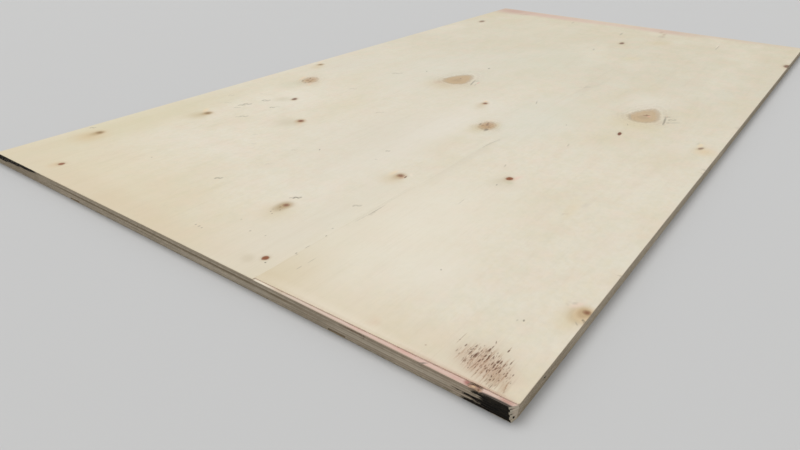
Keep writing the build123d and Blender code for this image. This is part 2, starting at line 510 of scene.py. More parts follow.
MARKS = (
    *(Mark(x, y, long, wide, T.SINGE, share, *turn, depth=0.1) for x, y, long, wide, share, *turn in STREAKS),
    *(
        Mark(x, y, 1.4 * long, 0.8 * wide, T.BURN, 0.9 * share, *turn, depth=0.25)
        for x, y, long, wide, share, *turn in CLOTS
    ),
    *(Mark(*row) for row in FLECKS),
    *(mark for row in SMEARS for mark in smear(*row)),
    *(Mark(*row) for row in POCKETS_AND_CHECKS),
)


def blots(*rows: tuple) -> tuple[Blot, ...]:
    """Blots from rows: place, length, width, colour, strength and, if not 0 and 1, turn and softness."""
    return tuple(Blot(*row) for row in rows)


BLOTS = blots(
    # The broad tints of the veneer
    (60, 960, 420, 800, "dccfaf", 0.5), (340, 1170, 460, 170, "dbd1ab", 0.5),
    (20, 830, 90, 700, "d8c7ab", 0.5), (45, 250, 110, 400, "ddd0b8", 0.5),
    (290, 330, 560, 300, "e8e1d0", 0.7), (650, 660, 620, 320, "dad3c3", 0.5),
    (1000, 420, 500, 200, "dadbce", 0.5), (450, 1165, 1000, 140, "d0c7a8", 0.45),
    (1100, 1120, 300, 150, "d8d3c6", 0.45), (1250, 850, 700, 420, "dad8cb", 0.4),
    (560, 150, 120, 26, "dfcfae", 0.4, 6, 0.8), (1600, 640, 500, 260, "d7d7c5", 0.4),
    (1829, 443, 80, 44, "d6cca2", 0.4, -30), (2148, 440, 120, 70, "d3c29c", 0.5, -30),
    (2000, 900, 700, 500, "d5cfba", 0.3), (2400, 1000, 110, 600, "cfaca1", 0.75),
    (2400, 1160, 170, 200, "be9a8c", 0.7), (2405, 660, 90, 560, "d6bcab", 0.65),
    (2405, 470, 110, 240, "c8a598", 0.55), (2425, 250, 60, 560, "d0bbab", 0.6),
    (2376, 489, 60, 16, "c0a48c", 0.5, 8, 0.8), (2300, 464, 170, 14, "bfa88c", 0.5, 8, 0.8),
    (2348, 1079, 30, 12, "a17c66", 0.7, -40, 0.8),
    # The torn and singed patch at the near corner
    (56, 70, 84, 92, "d0bfac", 0.6), (46, 62, 46, 78, "c8ae97", 0.75), (36, 44, 38, 24, "b3977c", 0.6),
    (24, 27, 26, 12, "c0a488", 0.6, 10), (27, 225, 11, 12, "d2ad8e", 0.7, 0, 0.8),
    (50, 247, 8, 10, "d6b8a2", 0.5, 0, 0.8), (17, 250, 8, 330, "e6dcc8", 0.7, 0, 0.8),
    # What surrounds the knots: shade, resin and the pale fibres that bend round them
    (38, 482, 26, 30, "cdc2aa", 0.6, -50, 0.8), (190, 561, 84, 70, "d3c4a2", 0.45),
    (205, 568, 38, 26, "a8916a", 0.7), (219, 567, 34, 30, "a58c68", 0.5, 0, 0.8),
    (446, 487, 64, 46, "d3c09d", 0.5), (463, 481, 34, 26, "b99a78", 0.4),
    (465, 473, 24, 10, "c79c86", 0.6, 0, 0.8), (474, 500, 36, 10, "ead4ae", 0.6, 0, 0.8),
    (487, 466, 16, 7, "f2e5d4", 0.6, 35, 0.8), (188, 1158, 84, 70, "d5bf98", 0.75),
    (208, 1163, 34, 24, "a8926a", 0.5), (452, 1090, 76, 60, "c8b893", 0.6),
    (470, 1084, 32, 24, "9d8b64", 0.4), (490, 1105, 40, 14, "edd2aa", 0.6, 30, 0.8),
    (48, 1062, 40, 28, "d6be98", 0.65), (556, 882, 76, 74, "cbc2aa", 0.6),
    (586, 864, 30, 26, "c19a78", 0.45), (574, 852, 44, 9, "e8cfb6", 0.5, 30, 0.8),
    (690, 1022, 56, 44, "cbc2a9", 0.6), (812, 1100, 120, 76, "cdc9b0", 0.5),
    (884, 1122, 60, 12, "ebd0ac", 0.6, 18, 0.8), (850, 1064, 44, 12, "e9ceb4", 0.5, 28, 0.8),
    (834, 500, 80, 48, "cfc09a", 0.55), (884, 476, 60, 26, "ccbc94", 0.5, 16),
    (903, 505, 40, 18, "ead8c0", 0.5, -30, 0.8), (998, 580, 66, 34, "cdbea0", 0.6, 18),
    (1045, 589, 16, 12, "edd0a8", 0.75, 0, 0.8), (1108, 762, 110, 120, "d5c5a7", 0.65),
    (1128, 788, 44, 34, "ccb39b", 0.5), (1126, 214, 120, 130, "d7cba7", 0.6),
    (1034, 30, 64, 48, "dec8a3", 0.65), (1072, 45, 34, 12, "ecd7b0", 0.6, 0, 0.8),
    (574, 306, 64, 52, "cdc3ab", 0.4), (612, 292, 40, 12, "e8c9b8", 0.6, -10, 0.8),
    (584, 292, 16, 18, "cccab0", 0.6, 0, 0.8), (206, 20, 70, 44, "d6c7a2", 0.55),
    (232, 10, 58, 44, "bfa67d", 0.6, 0, 0.5), (235, 8, 44, 30, "dcc6a2", 0.7, 0, 0.4),
    (237, 9, 32, 20, "b3956f", 0.6, 0, 0.5), (252, 24, 34, 12, "ead2c2", 0.6, -25, 0.8),
    (1012, 1176, 70, 40, "d2c09d", 0.55, 20), (1062, 1204, 40, 14, "e8d0b0", 0.5, 20, 0.8),
)

WIDE_BLOTS = blots(
    (90, 500, 300, 200, "e1d9c9", 0.75), (700, 572, 820, 130, "ebe6dc", 0.55),
    (720, 1000, 160, 130, "e6e0d2", 0.4), (300, 470, 500, 90, "dbd4c2", 0.6),
)

NARROW_BLOTS = blots(
    (40, 410, 180, 130, "d3c19c", 0.85), (26, 420, 30, 60, "c9b186", 0.5),
    (44, 412, 64, 50, "cfc09a", 0.5, 0, 0.7), (322, 414, 76, 30, "e4c9b6", 0.5),
    (260, 420, 640, 90, "ddd4bf", 0.6), (625, 428, 400, 44, "cdc5b1", 0.35),
    # The two blots turned 0.66° along the ledge are painted shadow of the veneer's step, the first one
    # reddened by the dye
    (1362, 434, 250, 44, "cac2ae", 0.4), (10.4, 80, 4.0, 190, "b98974", 0.6, 0.66, 0.6),
    (8.0, 290, 2.6, 200, "c7ab96", 0.4, 0.66, 0.8), (15, 120, 11, 230, "dcc3b0", 0.4, 0.66),
    (1350, 230, 200, 120, "e6e0d2", 0.4), (200, 230, 140, 110, "eae3d6", 0.45),
)


def stains(blots: Sequence[Blot], x: Array, y: Array) -> Array:
    """Lays blots over each other.

    Args:
        blots: The blots, the lowest first.
        x: Places in the blots' first direction.
        y: Places in their second direction.

    Returns:
        Red, green, blue and the share that they cover.
    """
    colour = np.zeros((len(x), 3))
    cover = np.zeros(len(x))
    for blot in blots:
        own = blot.mask(x, y)
        left = cover * (1 - own)
        cover = own + left
        safe = np.maximum(cover, 1e-6)
        colour = (np.outer(own, linear(blot.colour)[:3]) + colour * left[:, None]) / safe[:, None]
    return np.column_stack([colour, cover])


@dataclass
class FaceWear:
    """The knots, marks and stains of the face, as fields over the plan."""

    noise: Lattice = field(default_factory=lambda: Lattice(11))

    def relief(self, x: Array, y: Array) -> Array:
        """How far the face lies below its highest plane, in millimetres."""
        depth = 0.02 + 0.16 * self.noise.octaves(x / 260.0, y / 120.0, 3)
        for knot in KNOTS:
            radius = knot.radius(x, y)
            deep = 0.5 if knot.kind is KnotKind.SLIVER else 0.08
            groove = np.exp(-(((radius - 1.0) / 0.16) ** 2))
            depth = depth + 0.14 * groove + deep * ramp(radius, 1.0, 0.5)
        for mark in MARKS:
            depth = depth + mark.depth * mark.mask(x, y)
        fibres = self.noise.octaves(x / 18.0, y / 2.6, 2)
        return depth + self.torn(x, y) * (0.12 + 0.4 * ramp(fibres, 0.45, 0.8))

    def torn(self, x: Array, y: Array) -> Array:
        """The patch at the near corner where the fibres were torn up and singed."""
        body = ramp(np.hypot((x - 54.0) / 34.0, (y - 70.0) / 44.0), 1.12, 0.55)
        streaks = ramp(np.hypot((x - 38.0) / 38.0, (y - 46.0) / 30.0), 1.1, 0.4)
        return np.maximum(body, 0.8 * streaks)

    def fields(self, x: Array, y: Array, own_blots: Sequence[Blot]) -> dict[str, Array]:
        """Works out what the face's material reads.

        Args:
            x: Places along the length.
            y: Places across the width.
            own_blots: The blots of this veneer alone.

        Returns:
            One array for each attribute of the mesh.
        """
        radius = np.full_like(x, NOWHERE)
        look = np.zeros((len(x), 3))
        colour = np.tile(np.array(linear("b18f6b")), (len(x), 1))
        halo = np.zeros_like(x)
        tail = np.zeros_like(x)
        flow = y.copy()
        for knot in KNOTS:
            kind = KNOT_LOOKS[knot.kind]
            own = knot.radius(x, y)
            nearer = own < radius
            radius = np.where(nearer, own, radius)
            look[nearer] = (knot.strength * kind.strength, kind.rim, kind.speckle)
            colour[nearer] = (*linear(kind.colour)[:3], kind.soft)
            halo = np.maximum(halo, kind.halo * knot.strength * ramp(own, kind.reach, 0.95))
            tail = np.maximum(tail, knot.tail_mask(x, y) * knot.strength)
            flow = flow - knot.flow(x, y)
        mark = np.zeros_like(x)
        mark_colour = np.tile(np.array(linear(Tone.GREY.value)), (len(x), 1))
        for item in MARKS:
            own = item.mask(x, y)
            stronger = own > mark
            mark = np.where(stronger, own, mark)
            mark_colour[stronger] = linear(item.tone.value)
        return {
            "flow": np.column_stack([x, flow, np.zeros_like(x)]) * MM,
            "knot": np.column_stack([radius, halo, tail]),
            "knot_look": look,
            "knot_colour": colour,
            "mark": mark,
            "mark_colour": mark_colour,
            "torn": self.torn(x, y),
            "stain": stains([*own_blots, *BLOTS], x, y),
        }


@dataclass(frozen=True)
class PaintPatch:
    """Paint, dirt, painted shade or bare wood on one side: where it runs, and how deep below the face."""

    start: float
    end: float
    upper: float
    lower: float
    strength: float
    feather: float

    def mask(self, along: Array, below: Array) -> Array:
        """One inside the patch and nothing past its feathered border."""
        middle = (self.start + self.end) / 2
        half = (self.end - self.start) / 2
        ends = ramp(np.abs(along - middle), half + self.feather, half - self.feather)
        height = (self.upper + self.lower) / 2
        half_height = (self.lower - self.upper) / 2
        return self.strength * ends * ramp(np.abs(below - height), half_height + 0.9, half_height - 0.5)


# On each side: from where to where along it, from what to what depth, the strength and the feather
EDGE_WEAR = {
    "paint_and_recess_shade": {
        Side.NEAR_END: (
            (-20, 46, -3, 27, 1.0, 14), (30, 57, 3.2, 6.4, 0.92, 8), (44, 68, 3.2, 6.0, 0.35, 9),
            (44, 62, 6.5, 11.0, 0.38, 8), (40, 56, 15.0, 18.6, 0.7, 8), (30, 68, 11.8, 15.2, 0.95, 10),
            (30, 70, 18.4, 23.5, 0.9, 14), (60, 84, 12.2, 14.2, 0.5, 9), (66, 100, 19.4, 21.0, 0.45, 9),
            (96, 104, 12, 14, 0.5, 3), (1176, 1240, 0.8, 12.0, 0.9, 22), (1122, 1240, 0.8, 9.4, 0.85, 22),
            (1076, 1240, 0.8, 7.4, 0.85, 18), (1060, 1240, 0.8, 5.4, 0.85, 18),
            (1038, 1240, 0.8, 3.6, 0.55, 22), (221, 262, 2.0, 4.6, 0.36, 5), (222, 232, 2.0, 4.4, 0.5, 3),
            (219, 222, 1, 9, 0.45, 1), (286, 314, 13.4, 15.8, 0.34, 8), (126, 138, 1, 5, 0.35, 2),
        ),
        Side.NEAR_SIDE: (
            # Painted shade: black over the centre crossband where its deep slot opens
            (83, 89, 8.6, 12.2, 0.8, 1),
        ),
        Side.CORNER: (
            (4.0, 7.0, 16.5, 20.0, 0.9, 1.5),
        ),
    },
    "grime_and_shade": {
        Side.NEAR_END: (
            (340, 1000, 8.5, 10.9, 0.95, 50), (100, 340, 9.0, 10.2, 0.3, 40),
            (600, 760, 15.5, 17.6, 0.7, 30), (820, 1010, 9.4, 12.4, 0.5, 60),
            (1040, 1220, 3.5, 15.0, 0.45, 50), (300, 350, 14.8, 16.2, 0.4, 12),
            (60, 1220, 2.6, 3.6, 0.35, 30), (1000, 1215, 15.0, 23.0, 0.25, 60),
            (60, 1210, 21.6, 24.0, 0.3, 30),
        ),
        Side.NEAR_SIDE: (
            (0, 180, 2.0, 23.0, 0.42, 50), (1300, 2440, 6.0, 23.0, 0.3, 300),
            (2040, 2440, 0.0, 8.0, 0.3, 120),
        ),
    },
    "fresh": {
        Side.NEAR_END: (
            (90, 280, 9.4, 14.2, 0.5, 24), (380, 660, 14.6, 18.6, 0.3, 60),
            (400, 1000, 17.0, 21.0, 0.2, 60),
        ),
    },
}

# The stains of the near end, and painted shadow at the foot of the face veneer's step
END_STAINS_AND_STEP_SHADOW = blots(
    (0, 120, 30, 420, "dfbab0", 0.75, 0, 0.9), (6, 160, 6, 34, "d6a79c", 0.6),
    (5, 80, 6, 24, "d09f95", 0.5), (6, 235, 5, 34, "dab3a7", 0.5), (3, 416, 12, 46, "f2e9d6", 0.9, 0, 0.8),
    # The blot at x 9.4, turned 0.66°, is painted shadow at the foot of the face veneer's step, reddened by
    # the dye
    (4, 380, 6, 26, "cdb99c", 0.6), (9.4, 70, 1.3, 130, "b07468", 0.4, 0.66, 0.8),
    (0.2, 220, 3.4, 470, "9c8b76", 0.8, 0, 0.9), (7, 14, 8, 22, "c19286", 0.85, 0, 0.9),
    (0.0, 20, 9.6, 76, "14100e", 0.97, 0, 0.4), (2, 129, 3.5, 14, "6d655c", 0.85, 35, 0.8),
    (6.2, 66, 10, 11, "a05e58", 0.85, 0, 0.7), (4.5, 55, 14, 20, "b09078", 0.95, 0, 0.4),
    (1.2, 54, 4.0, 15, "54432f", 0.85, 0, 0.7), (5.5, 57.5, 4.6, 5.4, "d8b693", 0.85, 0, 0.6),
    (5, 50.5, 7.5, 2.8, "6a4a32", 0.75, 20, 0.7), (8.6, 59.5, 2.8, 9, "5c3624", 0.85, 12, 0.7),
    (8.4, 52.5, 3.6, 5, "c79b8b", 0.7, 0, 0.8),
)


@dataclass(frozen=True)
class Notch:
    """A place where a side is broken back: how deep, and between which heights of the ply."""

    side: Side
    places: tuple[float, ...]
    depths: tuple[float, ...]
    low: float = 0.0
    high: float = 1.0

    def depth(self, along: Array, share: float) -> Array:
        """The depth at places along the side, for a level of the ply from 0 below to 1 on top."""
        if not self.low - 1e-6 <= share <= self.high + 1e-6:
            return np.zeros_like(along)
        return np.interp(along, self.places, self.depths, left=0.0, right=0.0)


@dataclass(frozen=True)
class Outline:
    """A ply's outline at each of its levels, and where each of its points lies.

    The run is each point's distance on the way round, the sides are numbers in the ply's own order, and
    the alongs are places along the side.
    """

    levels: list[Array]
    run: Array
    sides: Array
    alongs: Array


@dataclass
class Ply:
    """One ply of the sheet, with sawn sides as rough as its grain leaves them.

    The shares are its levels, from 0 at the underside to 1 on top. The map rows say how many rows the sides
    take in the map, and the two bands where the sides' and the top's parts of it end.
    """

    node: str
    slot: str
    grain: Grain
    sheet: Sheet
    seed: int
    notches: tuple[Notch, ...] = ()
    splintering: float = 1.0
    bare_side: Side = Side.CORNER

    SIDES = (Side.NEAR_SIDE, Side.FAR_END, Side.FAR_SIDE, Side.NEAR_END, Side.CORNER)
    SHARES = (0.0, 0.07, 0.3, 0.52, 0.75, 0.93, 1.0)
    STEPS = {Side.NEAR_END: 1.5, Side.NEAR_SIDE: 2.5, Side.CORNER: 0.8}
    COARSE_STEP = 4.5
    EASE = 0.22
    SHARP_ANGLE = math.radians(38)
    # How strongly black paint darkens the near end's notches, as painted shade; only the back ply has any
    CHIP_SHADE_PAINT = 0.0
    MAP_ROWS = 20
    WALL_BAND = 0.84
    TOP_BAND = 0.92

    def __post_init__(self) -> None:
        """Reads the ply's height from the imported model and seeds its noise."""
        low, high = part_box(self.node)
        self.bottom = round(low[2] / MM, 4)
        self.top = round(high[2] / MM, 4)
        self.noise = Lattice(self.seed)

    def corners(self, height: float) -> list[Plan]:
        """The corners where the sides start, anticlockwise from above, at a height above the underside."""
        s = self.sheet
        depth = 1.0 - height / s.thickness
        along = s.corner_along
        across = s.corner_across_top + depth * (s.corner_across_bottom - s.corner_across_top)
        if self.grain is Grain.LENGTH:
            along += s.corner_grain_split
        else:
            across += s.corner_grain_split
        return [(along, 0.0), (s.length, 0.0), (s.length, s.width), (0.0, s.width), (0.0, across)]

    def stations(self, side: Side, start: Plan, end: Plan) -> Array:
        """Divides a side, more finely where it is broken.

        Args:
            side: The side.
            start: Where it starts.
            end: Where it ends.

        Returns:
            Shares of its length from 0 on, without the end itself.
        """
        axis = 0 if abs(end[0] - start[0]) > abs(end[1] - start[1]) else 1
        length = math.dist(start, end)
        way = (end[axis] - start[axis]) / length
        spots = [place for n in self.notches if n.side is side for place in n.places]
        places = [0.0]
        while True:
            here = start[axis] + way * places[-1]
            near = min((abs(here - spot) for spot in spots), default=1e9)
            stride = min(self.STEPS.get(side, self.COARSE_STEP), max(0.5, near * 0.4))
            if places[-1] + stride * 1.5 > length:
                break
            places.append(places[-1] + stride)
        exact = [(spot - start[axis]) * way for spot in spots]
        inside = [p for p in exact if 0.5 < p < length - 0.5]
        kept = [p for p in places if all(abs(p - q) > 0.2 for q in inside)]
        return np.array(sorted(set(kept + inside))) / length

    def depth(self, side: Side, along: Array, share: float) -> Array:
        """How far a side lies inside its ideal plane.

        Args:
            side: The side.
            along: Places along it, in plan millimetres.
            share: The level in the ply, from 0 below to 1 on top.

        Returns:
            Depths in millimetres.
        """
        height = self.bottom + share * (self.top - self.bottom)
        ends = side in (Side.NEAR_END, Side.FAR_END, Side.CORNER)
        across_fibres = ends == (self.grain is Grain.LENGTH)
        if across_fibres:
            fine = 0.16 * self.noise.octaves(along / 1.7, height / 0.9, 2)
        else:
            fine = 0.3 * ramp(self.noise.octaves(along / 16.0, height / 0.8, 3), 0.42, 0.85)
        hollow = 0.3 * ramp(self.noise.octaves(along / 60.0, self.seed * 7.7, 2), 0.5, 0.9)
        edge = max(0.0, abs(share - 0.5) - 0.36) / 0.14
        loss = 0.5 * edge * ramp(self.noise.octaves(along / 5.0, share * 40.0, 3), 0.5, 0.85)
        return self.broken(side, along, share, (fine + hollow + loss) * self.splintering)

    def broken(self, side: Side, along: Array, share: float, depth: Array) -> Array:
        """The depths of a side, with its notches cut in."""
        for notch in self.notches:
            if notch.side is side:
                depth = np.maximum(depth, notch.depth(along, share))
        return depth

    def glue_line(self, height: float, x: Array, y: Array) -> Array:
        """How far the joint between two plies wanders from its height; the outer faces don't."""
        if height < 0.1 or height > self.sheet.thickness - 0.1:
            return np.zeros_like(x)
        return 0.75 * (GLUE_NOISE.octaves(x / 90.0 + height * 3.1, y / 90.0 + height * 1.7, 2) - 0.5)

    def relief(self, x: Array, y: Array) -> Array:
        """How far the top lies below its plane."""
        return np.zeros_like(x)

    def inner_points(self) -> Array:
        """The points inside the outline that the top needs."""
        return np.zeros((0, 2))

    def fields(self, x: Array, y: Array) -> dict[str, Array]:
        """What the material reads besides the edge wear and the glue lines: the stains of the near end, with
        the painted shadow at the face veneer's step.
        """
        stain = stains(END_STAINS_AND_STEP_SHADOW, x, y)
        stain[x > 40.0, 3] = 0.0
        return {"stain": stain}

    def outline(self) -> Outline:
        """Works out the outline at each level, with eased corners and rough sides."""
        middle = self.corners((self.bottom + self.top) / 2)
        count = len(self.SIDES)
        cuts = [self.stations(side, middle[j], middle[(j + 1) % count]) for j, side in enumerate(self.SIDES)]
        levels = []
        for share in self.SHARES:
            corners = [np.array(c) for c in self.corners(self.bottom + share * (self.top - self.bottom))]
            rounds = []
            alongs = []
            for j, side in enumerate(self.SIDES):
                start, end = corners[j], corners[(j + 1) % count]
                length = np.linalg.norm(end - start)
                way = (end - start) / length
                base = start + cuts[j][:, None] * (end - start)
                along = base[:, 0] if abs(way[0]) > abs(way[1]) else base[:, 1]
                gone = cuts[j] * length
                fade = ramp(np.minimum(gone, length - gone), 0.0, 3.0)
                depth = self.EASE * (1 - fade) + self.depth(side, along, share) * fade
                points = base + np.array([-way[1], way[0]]) * depth[:, None]
                back = (start - corners[j - 1]) / np.linalg.norm(start - corners[j - 1])
                points[0] += np.array([-back[1], back[0]]) * self.EASE
                rounds.append(points)
                alongs.append(along)
            levels.append(np.vstack(rounds))
            if share == self.SHARES[0]:
                lowest_alongs = np.concatenate(alongs)
        steps = np.linalg.norm(np.roll(levels[0], -1, axis=0) - levels[0], axis=1)
        sides = np.concatenate([np.full(len(cut), j) for j, cut in enumerate(cuts)])
        return Outline(levels, np.concatenate([[0.0], np.cumsum(steps)]), sides, lowest_alongs)

    def build(self) -> bpy.types.Object:
        """Builds the ply as one closed mesh with its attributes and its map."""
        outline = self.outline()
        count = len(outline.sides)
        rings = []
        for share, ring in zip(self.SHARES, outline.levels):
            x, y = ring.T
            low = self.bottom + self.glue_line(self.bottom, x, y)
            rings.append(np.column_stack([x, y, low + share * (self.surface(x, y) - low)]))
        points, top_faces = self.cap(outline.levels[-1], self.inner_points())
        under_faces = self.cap(outline.levels[0], np.zeros((0, 2)))[1]
        inner = points[count:]
        plan = np.vstack([*rings, np.column_stack([inner, self.surface(*inner.T)])])
        ids = np.arange(count)
        following = np.roll(ids, -1)
        faces: list[tuple[int, ...]] = []
        for level in range(len(rings) - 1):
            a, b = level * count, (level + 1) * count
            faces.extend(zip(ids + a, following + a, following + b, ids + b))
        walls = len(faces)
        faces.extend(map(tuple, top_faces + walls))
        faces.extend(map(tuple, under_faces[:, ::-1]))
        mesh = bpy.data.meshes.new(self.node + "_ply")
        mesh.from_pydata(self.sheet.row(plan).tolist(), [], [tuple(int(i) for i in f) for f in faces])
        self.write_map(mesh, plan, outline.run, walls, len(top_faces))
        self.write_fields(mesh, plan, outline)
        mesh.shade_smooth()
        mesh.set_sharp_from_angle(angle=self.SHARP_ANGLE)
        mesh.validate()
        return add_object(self.node + "_dressed", mesh)

    def surface(self, x: Array, y: Array) -> Array:
        """The height of the ply's top."""
        return self.top + self.glue_line(self.top, x, y) - self.relief(x, y)

    def cap(self, outline: Array, inner: Array) -> tuple[Array, Array]:
        """Fills an outline with triangles.

        Args:
            outline: The outline, anticlockwise.
            inner: Points inside it.

        Returns:
            The points, the outline's first, and the triangles, which point up.
        """
        count = len(outline)
        points = np.vstack([outline, inner])
        edges = [(i, (i + 1) % count) for i in range(count)]
        _, _, triangles, origins, *_ = delaunay_2d_cdt([Vector(p) for p in points], edges, [], 1, 1e-6, True)
        back = np.array([min(own) if own else -1 for own in origins])
        if (back < 0).any():
            raise ValueError(f"{self.node}: the outline crosses itself {int((back < 0).sum())} times")
        faces = back[np.array(triangles)]
        corner = points[faces]
        area = np.cross(corner[:, 1] - corner[:, 0], corner[:, 2] - corner[:, 0])
        faces[area < 0] = faces[area < 0][:, ::-1]
        return points, faces

    def write_fields(self, mesh: bpy.types.Mesh, plan: Array, outline: Outline) -> None:
        """Writes the attributes that the materials read.

        Args:
            mesh: The ply's mesh.
            plan: Its points in plan millimetres, level by level.
            outline: The outline that they were made from.
        """
        values = {name: np.zeros(len(plan)) for name in (*EDGE_WEAR, "glue")}
        count = len(outline.sides)
        for level, share in enumerate(self.SHARES):
            rows = slice(level * count, (level + 1) * count)
            below = self.sheet.thickness - plan[rows, 2]
            for j, side in enumerate(self.SIDES):
                for name, own in self.side_wear(side, outline.alongs, below, share):
                    laid = np.where(outline.sides == j, own, 0.0)
                    values[name][rows] = np.maximum(values[name][rows], laid)
            values["glue"][rows] = ramp(abs(share - 0.5), 0.34, 0.46)
        values.update(self.fields(plan[:, 0].copy(), plan[:, 1].copy()))
        kinds = {1: ("FLOAT", "value"), 3: ("FLOAT_VECTOR", "vector"), 4: ("FLOAT_COLOR", "color")}
        for name, array in values.items():
            kind, key = kinds[array[0].size]
            attribute = mesh.attributes.new(name, kind, "POINT")
            attribute.data.foreach_set(key, array.astype(np.float32).ravel())

    def side_wear(self, side: Side, along: Array, below: Array, share: float) -> list[tuple[str, Array]]:
        """Lists the wear of one side.

        Args:
            side: The side.
            along: Places along it.
            below: Depths below the face.
            share: The level in the ply.

        Returns:
            The name of an attribute and its values, as often as there is something to lay on.
        """
        if side is self.bare_side and side is not Side.CORNER:
            return [("fresh", np.ones_like(along))]
        found = [("fresh", np.full_like(along, 0.5))] if side is self.bare_side else []
        for notch in (n for n in self.notches if n.side is side):
            # Each notch is darkened as painted shade in its recess: in the grime, and on the near end also
            # with black paint
            dirt = ramp(notch.depth(along, share), 1.0, 6.0)
            found.append(("grime_and_shade", 0.9 * dirt))
            if side is Side.NEAR_END:
                found.append(("paint_and_recess_shade", self.CHIP_SHADE_PAINT * dirt))
        for name, sides in EDGE_WEAR.items():
            found.extend((name, PaintPatch(*patch).mask(along, below)) for patch in sides.get(side, ()))
        return found

    def write_map(self, mesh: bpy.types.Mesh, plan: Array, run: Array, walls: int, top_faces: int) -> None:
        """Maps the sides in rows and the top and the underside in bands of their own.

        Args:
            mesh: The ply's mesh.
            plan: Its points in plan millimetres.
            run: The distance of each point of the outline on the way round.
            walls: How many faces the sides have.
            top_faces: How many triangles the top has.
        """
        count = len(run) - 1
        corner = np.zeros(len(mesh.loops), dtype=np.int32)
        mesh.loops.foreach_get("vertex_index", corner)
        maps = np.zeros((len(corner), 2))
        quads = corner[: walls * 4].reshape(walls, 4)
        piece = np.arange(walls) % count
        row = piece * self.MAP_ROWS // count
        starts = run[[math.ceil(r * count / self.MAP_ROWS) for r in range(self.MAP_ROWS + 1)]]
        for k, ahead in enumerate((0, 1, 1, 0)):
            share = np.array(self.SHARES)[quads[:, k] // count]
            gone = (run[piece + ahead] - starts[row]) / (starts[row + 1] - starts[row])
            maps[k : walls * 4 : 4, 0] = inset(gone)
            maps[k : walls * 4 : 4, 1] = (row + inset(share, gap=0.12)) * self.WALL_BAND / self.MAP_ROWS
        unders = walls * 4 + top_faces * 3
        maps[walls * 4 : unders] = self.map_top(plan[corner[walls * 4 : unders], :2])
        maps[unders:] = self.map_flat(plan[corner[unders:], :2], self.TOP_BAND, 0.998)
        layer = mesh.uv_layers.new(name="OFBake")
        layer.data.foreach_set("uv", maps.astype(np.float32).ravel())

    def map_flat(self, place: Array, low: float, high: float, gap: float = 0.004) -> Array:
        """Maps places of the plan onto a band, with the length across it."""
        across = inset(place[:, 0] / self.sheet.length)
        return np.column_stack([across, inset(place[:, 1] / self.sheet.width, low, high, gap)])

    def map_top(self, place: Array) -> Array:
        """Maps the top onto its band."""
        return self.map_flat(place, self.WALL_BAND, self.TOP_BAND)


class BackPly(Ply):
    """The lowest ply, whose underside is a clean bare face and takes half of the map."""

    # The chips are half painted black, as painted shade in them
    CHIP_SHADE_PAINT = 0.52
    WALL_BAND = 0.5
    TOP_BAND = 0.52

    def fields(self, x: Array, y: Array) -> dict[str, Array]:
        """What the material reads, without the stains or the painted step shadow of the near end."""
        return {"stain": np.zeros((len(x), 4))}


class UpperCrossband(Ply):
    """The ply under the face, bare along the ledge at the near end, with the hole of a torn knot."""

    WALL_BAND = 0.74
    BARE = 14.0
    BARE_MAP = BARE + 2.0

    def relief(self, x: Array, y: Array) -> Array:
        """The fibres of the bare strip, the well that the torn knot left, and a nick beside it."""
        bare = ramp(x, 14.0, 11.0) * ramp(y, 440.0, 436.0)
        fibres = 0.05 + 0.3 * self.noise.octaves(x / 1.1, y / 26.0, 3)
        well = np.hypot((x - 5.0) / 7.0, (y - 55.0) / 10.0)
        floor = 1.6 + 0.6 * self.noise.octaves(x / 3.0, y / 3.0, 2)
        plug = 0.75 * np.exp(-(np.hypot((x - 5.5) / 3.2, (y - 57.0) / 4.6) ** 4))
        nick = 0.5 * ramp(np.abs(turned(x, y, (2.0, 129.0), 62.0)[1]), 1.3, 0.3) * (np.abs(y - 129.0) < 7.0)
        return bare * fibres + ramp(well, 1.05, 0.85) * floor * (1 - plug) + nick

    def inner_points(self) -> Array:
        """A grid over the bare strip, finer round the torn knot."""
        coarse = grid_points(np.arange(1.6, self.BARE, 1.3), np.arange(8.0, 438.0, 1.9))
        fine = grid_points(np.arange(1.2, 13.0, 0.7), np.arange(43.0, 67.0, 0.7))
        return np.vstack([coarse[np.abs(coarse[:, 1] - 55.0) > 12.6], fine])

    def map_top(self, place: Array) -> Array:
        """Gives the bare strip a wide band, with the width across it, and the covered rest a narrow one."""
        bare = (place[:, 0].reshape(-1, 3).max(axis=1) < self.BARE_MAP).repeat(3)
        split = self.TOP_BAND - 0.02
        strip_v = inset(np.clip(place[:, 0] / self.BARE_MAP, 0, 1), self.WALL_BAND, split - 0.004, 0.004)
        strip = np.column_stack([inset(place[:, 1] / self.sheet.width), strip_v])
        return np.where(bare[:, None], strip, self.map_flat(place, split, self.TOP_BAND - 0.002, 0.002))


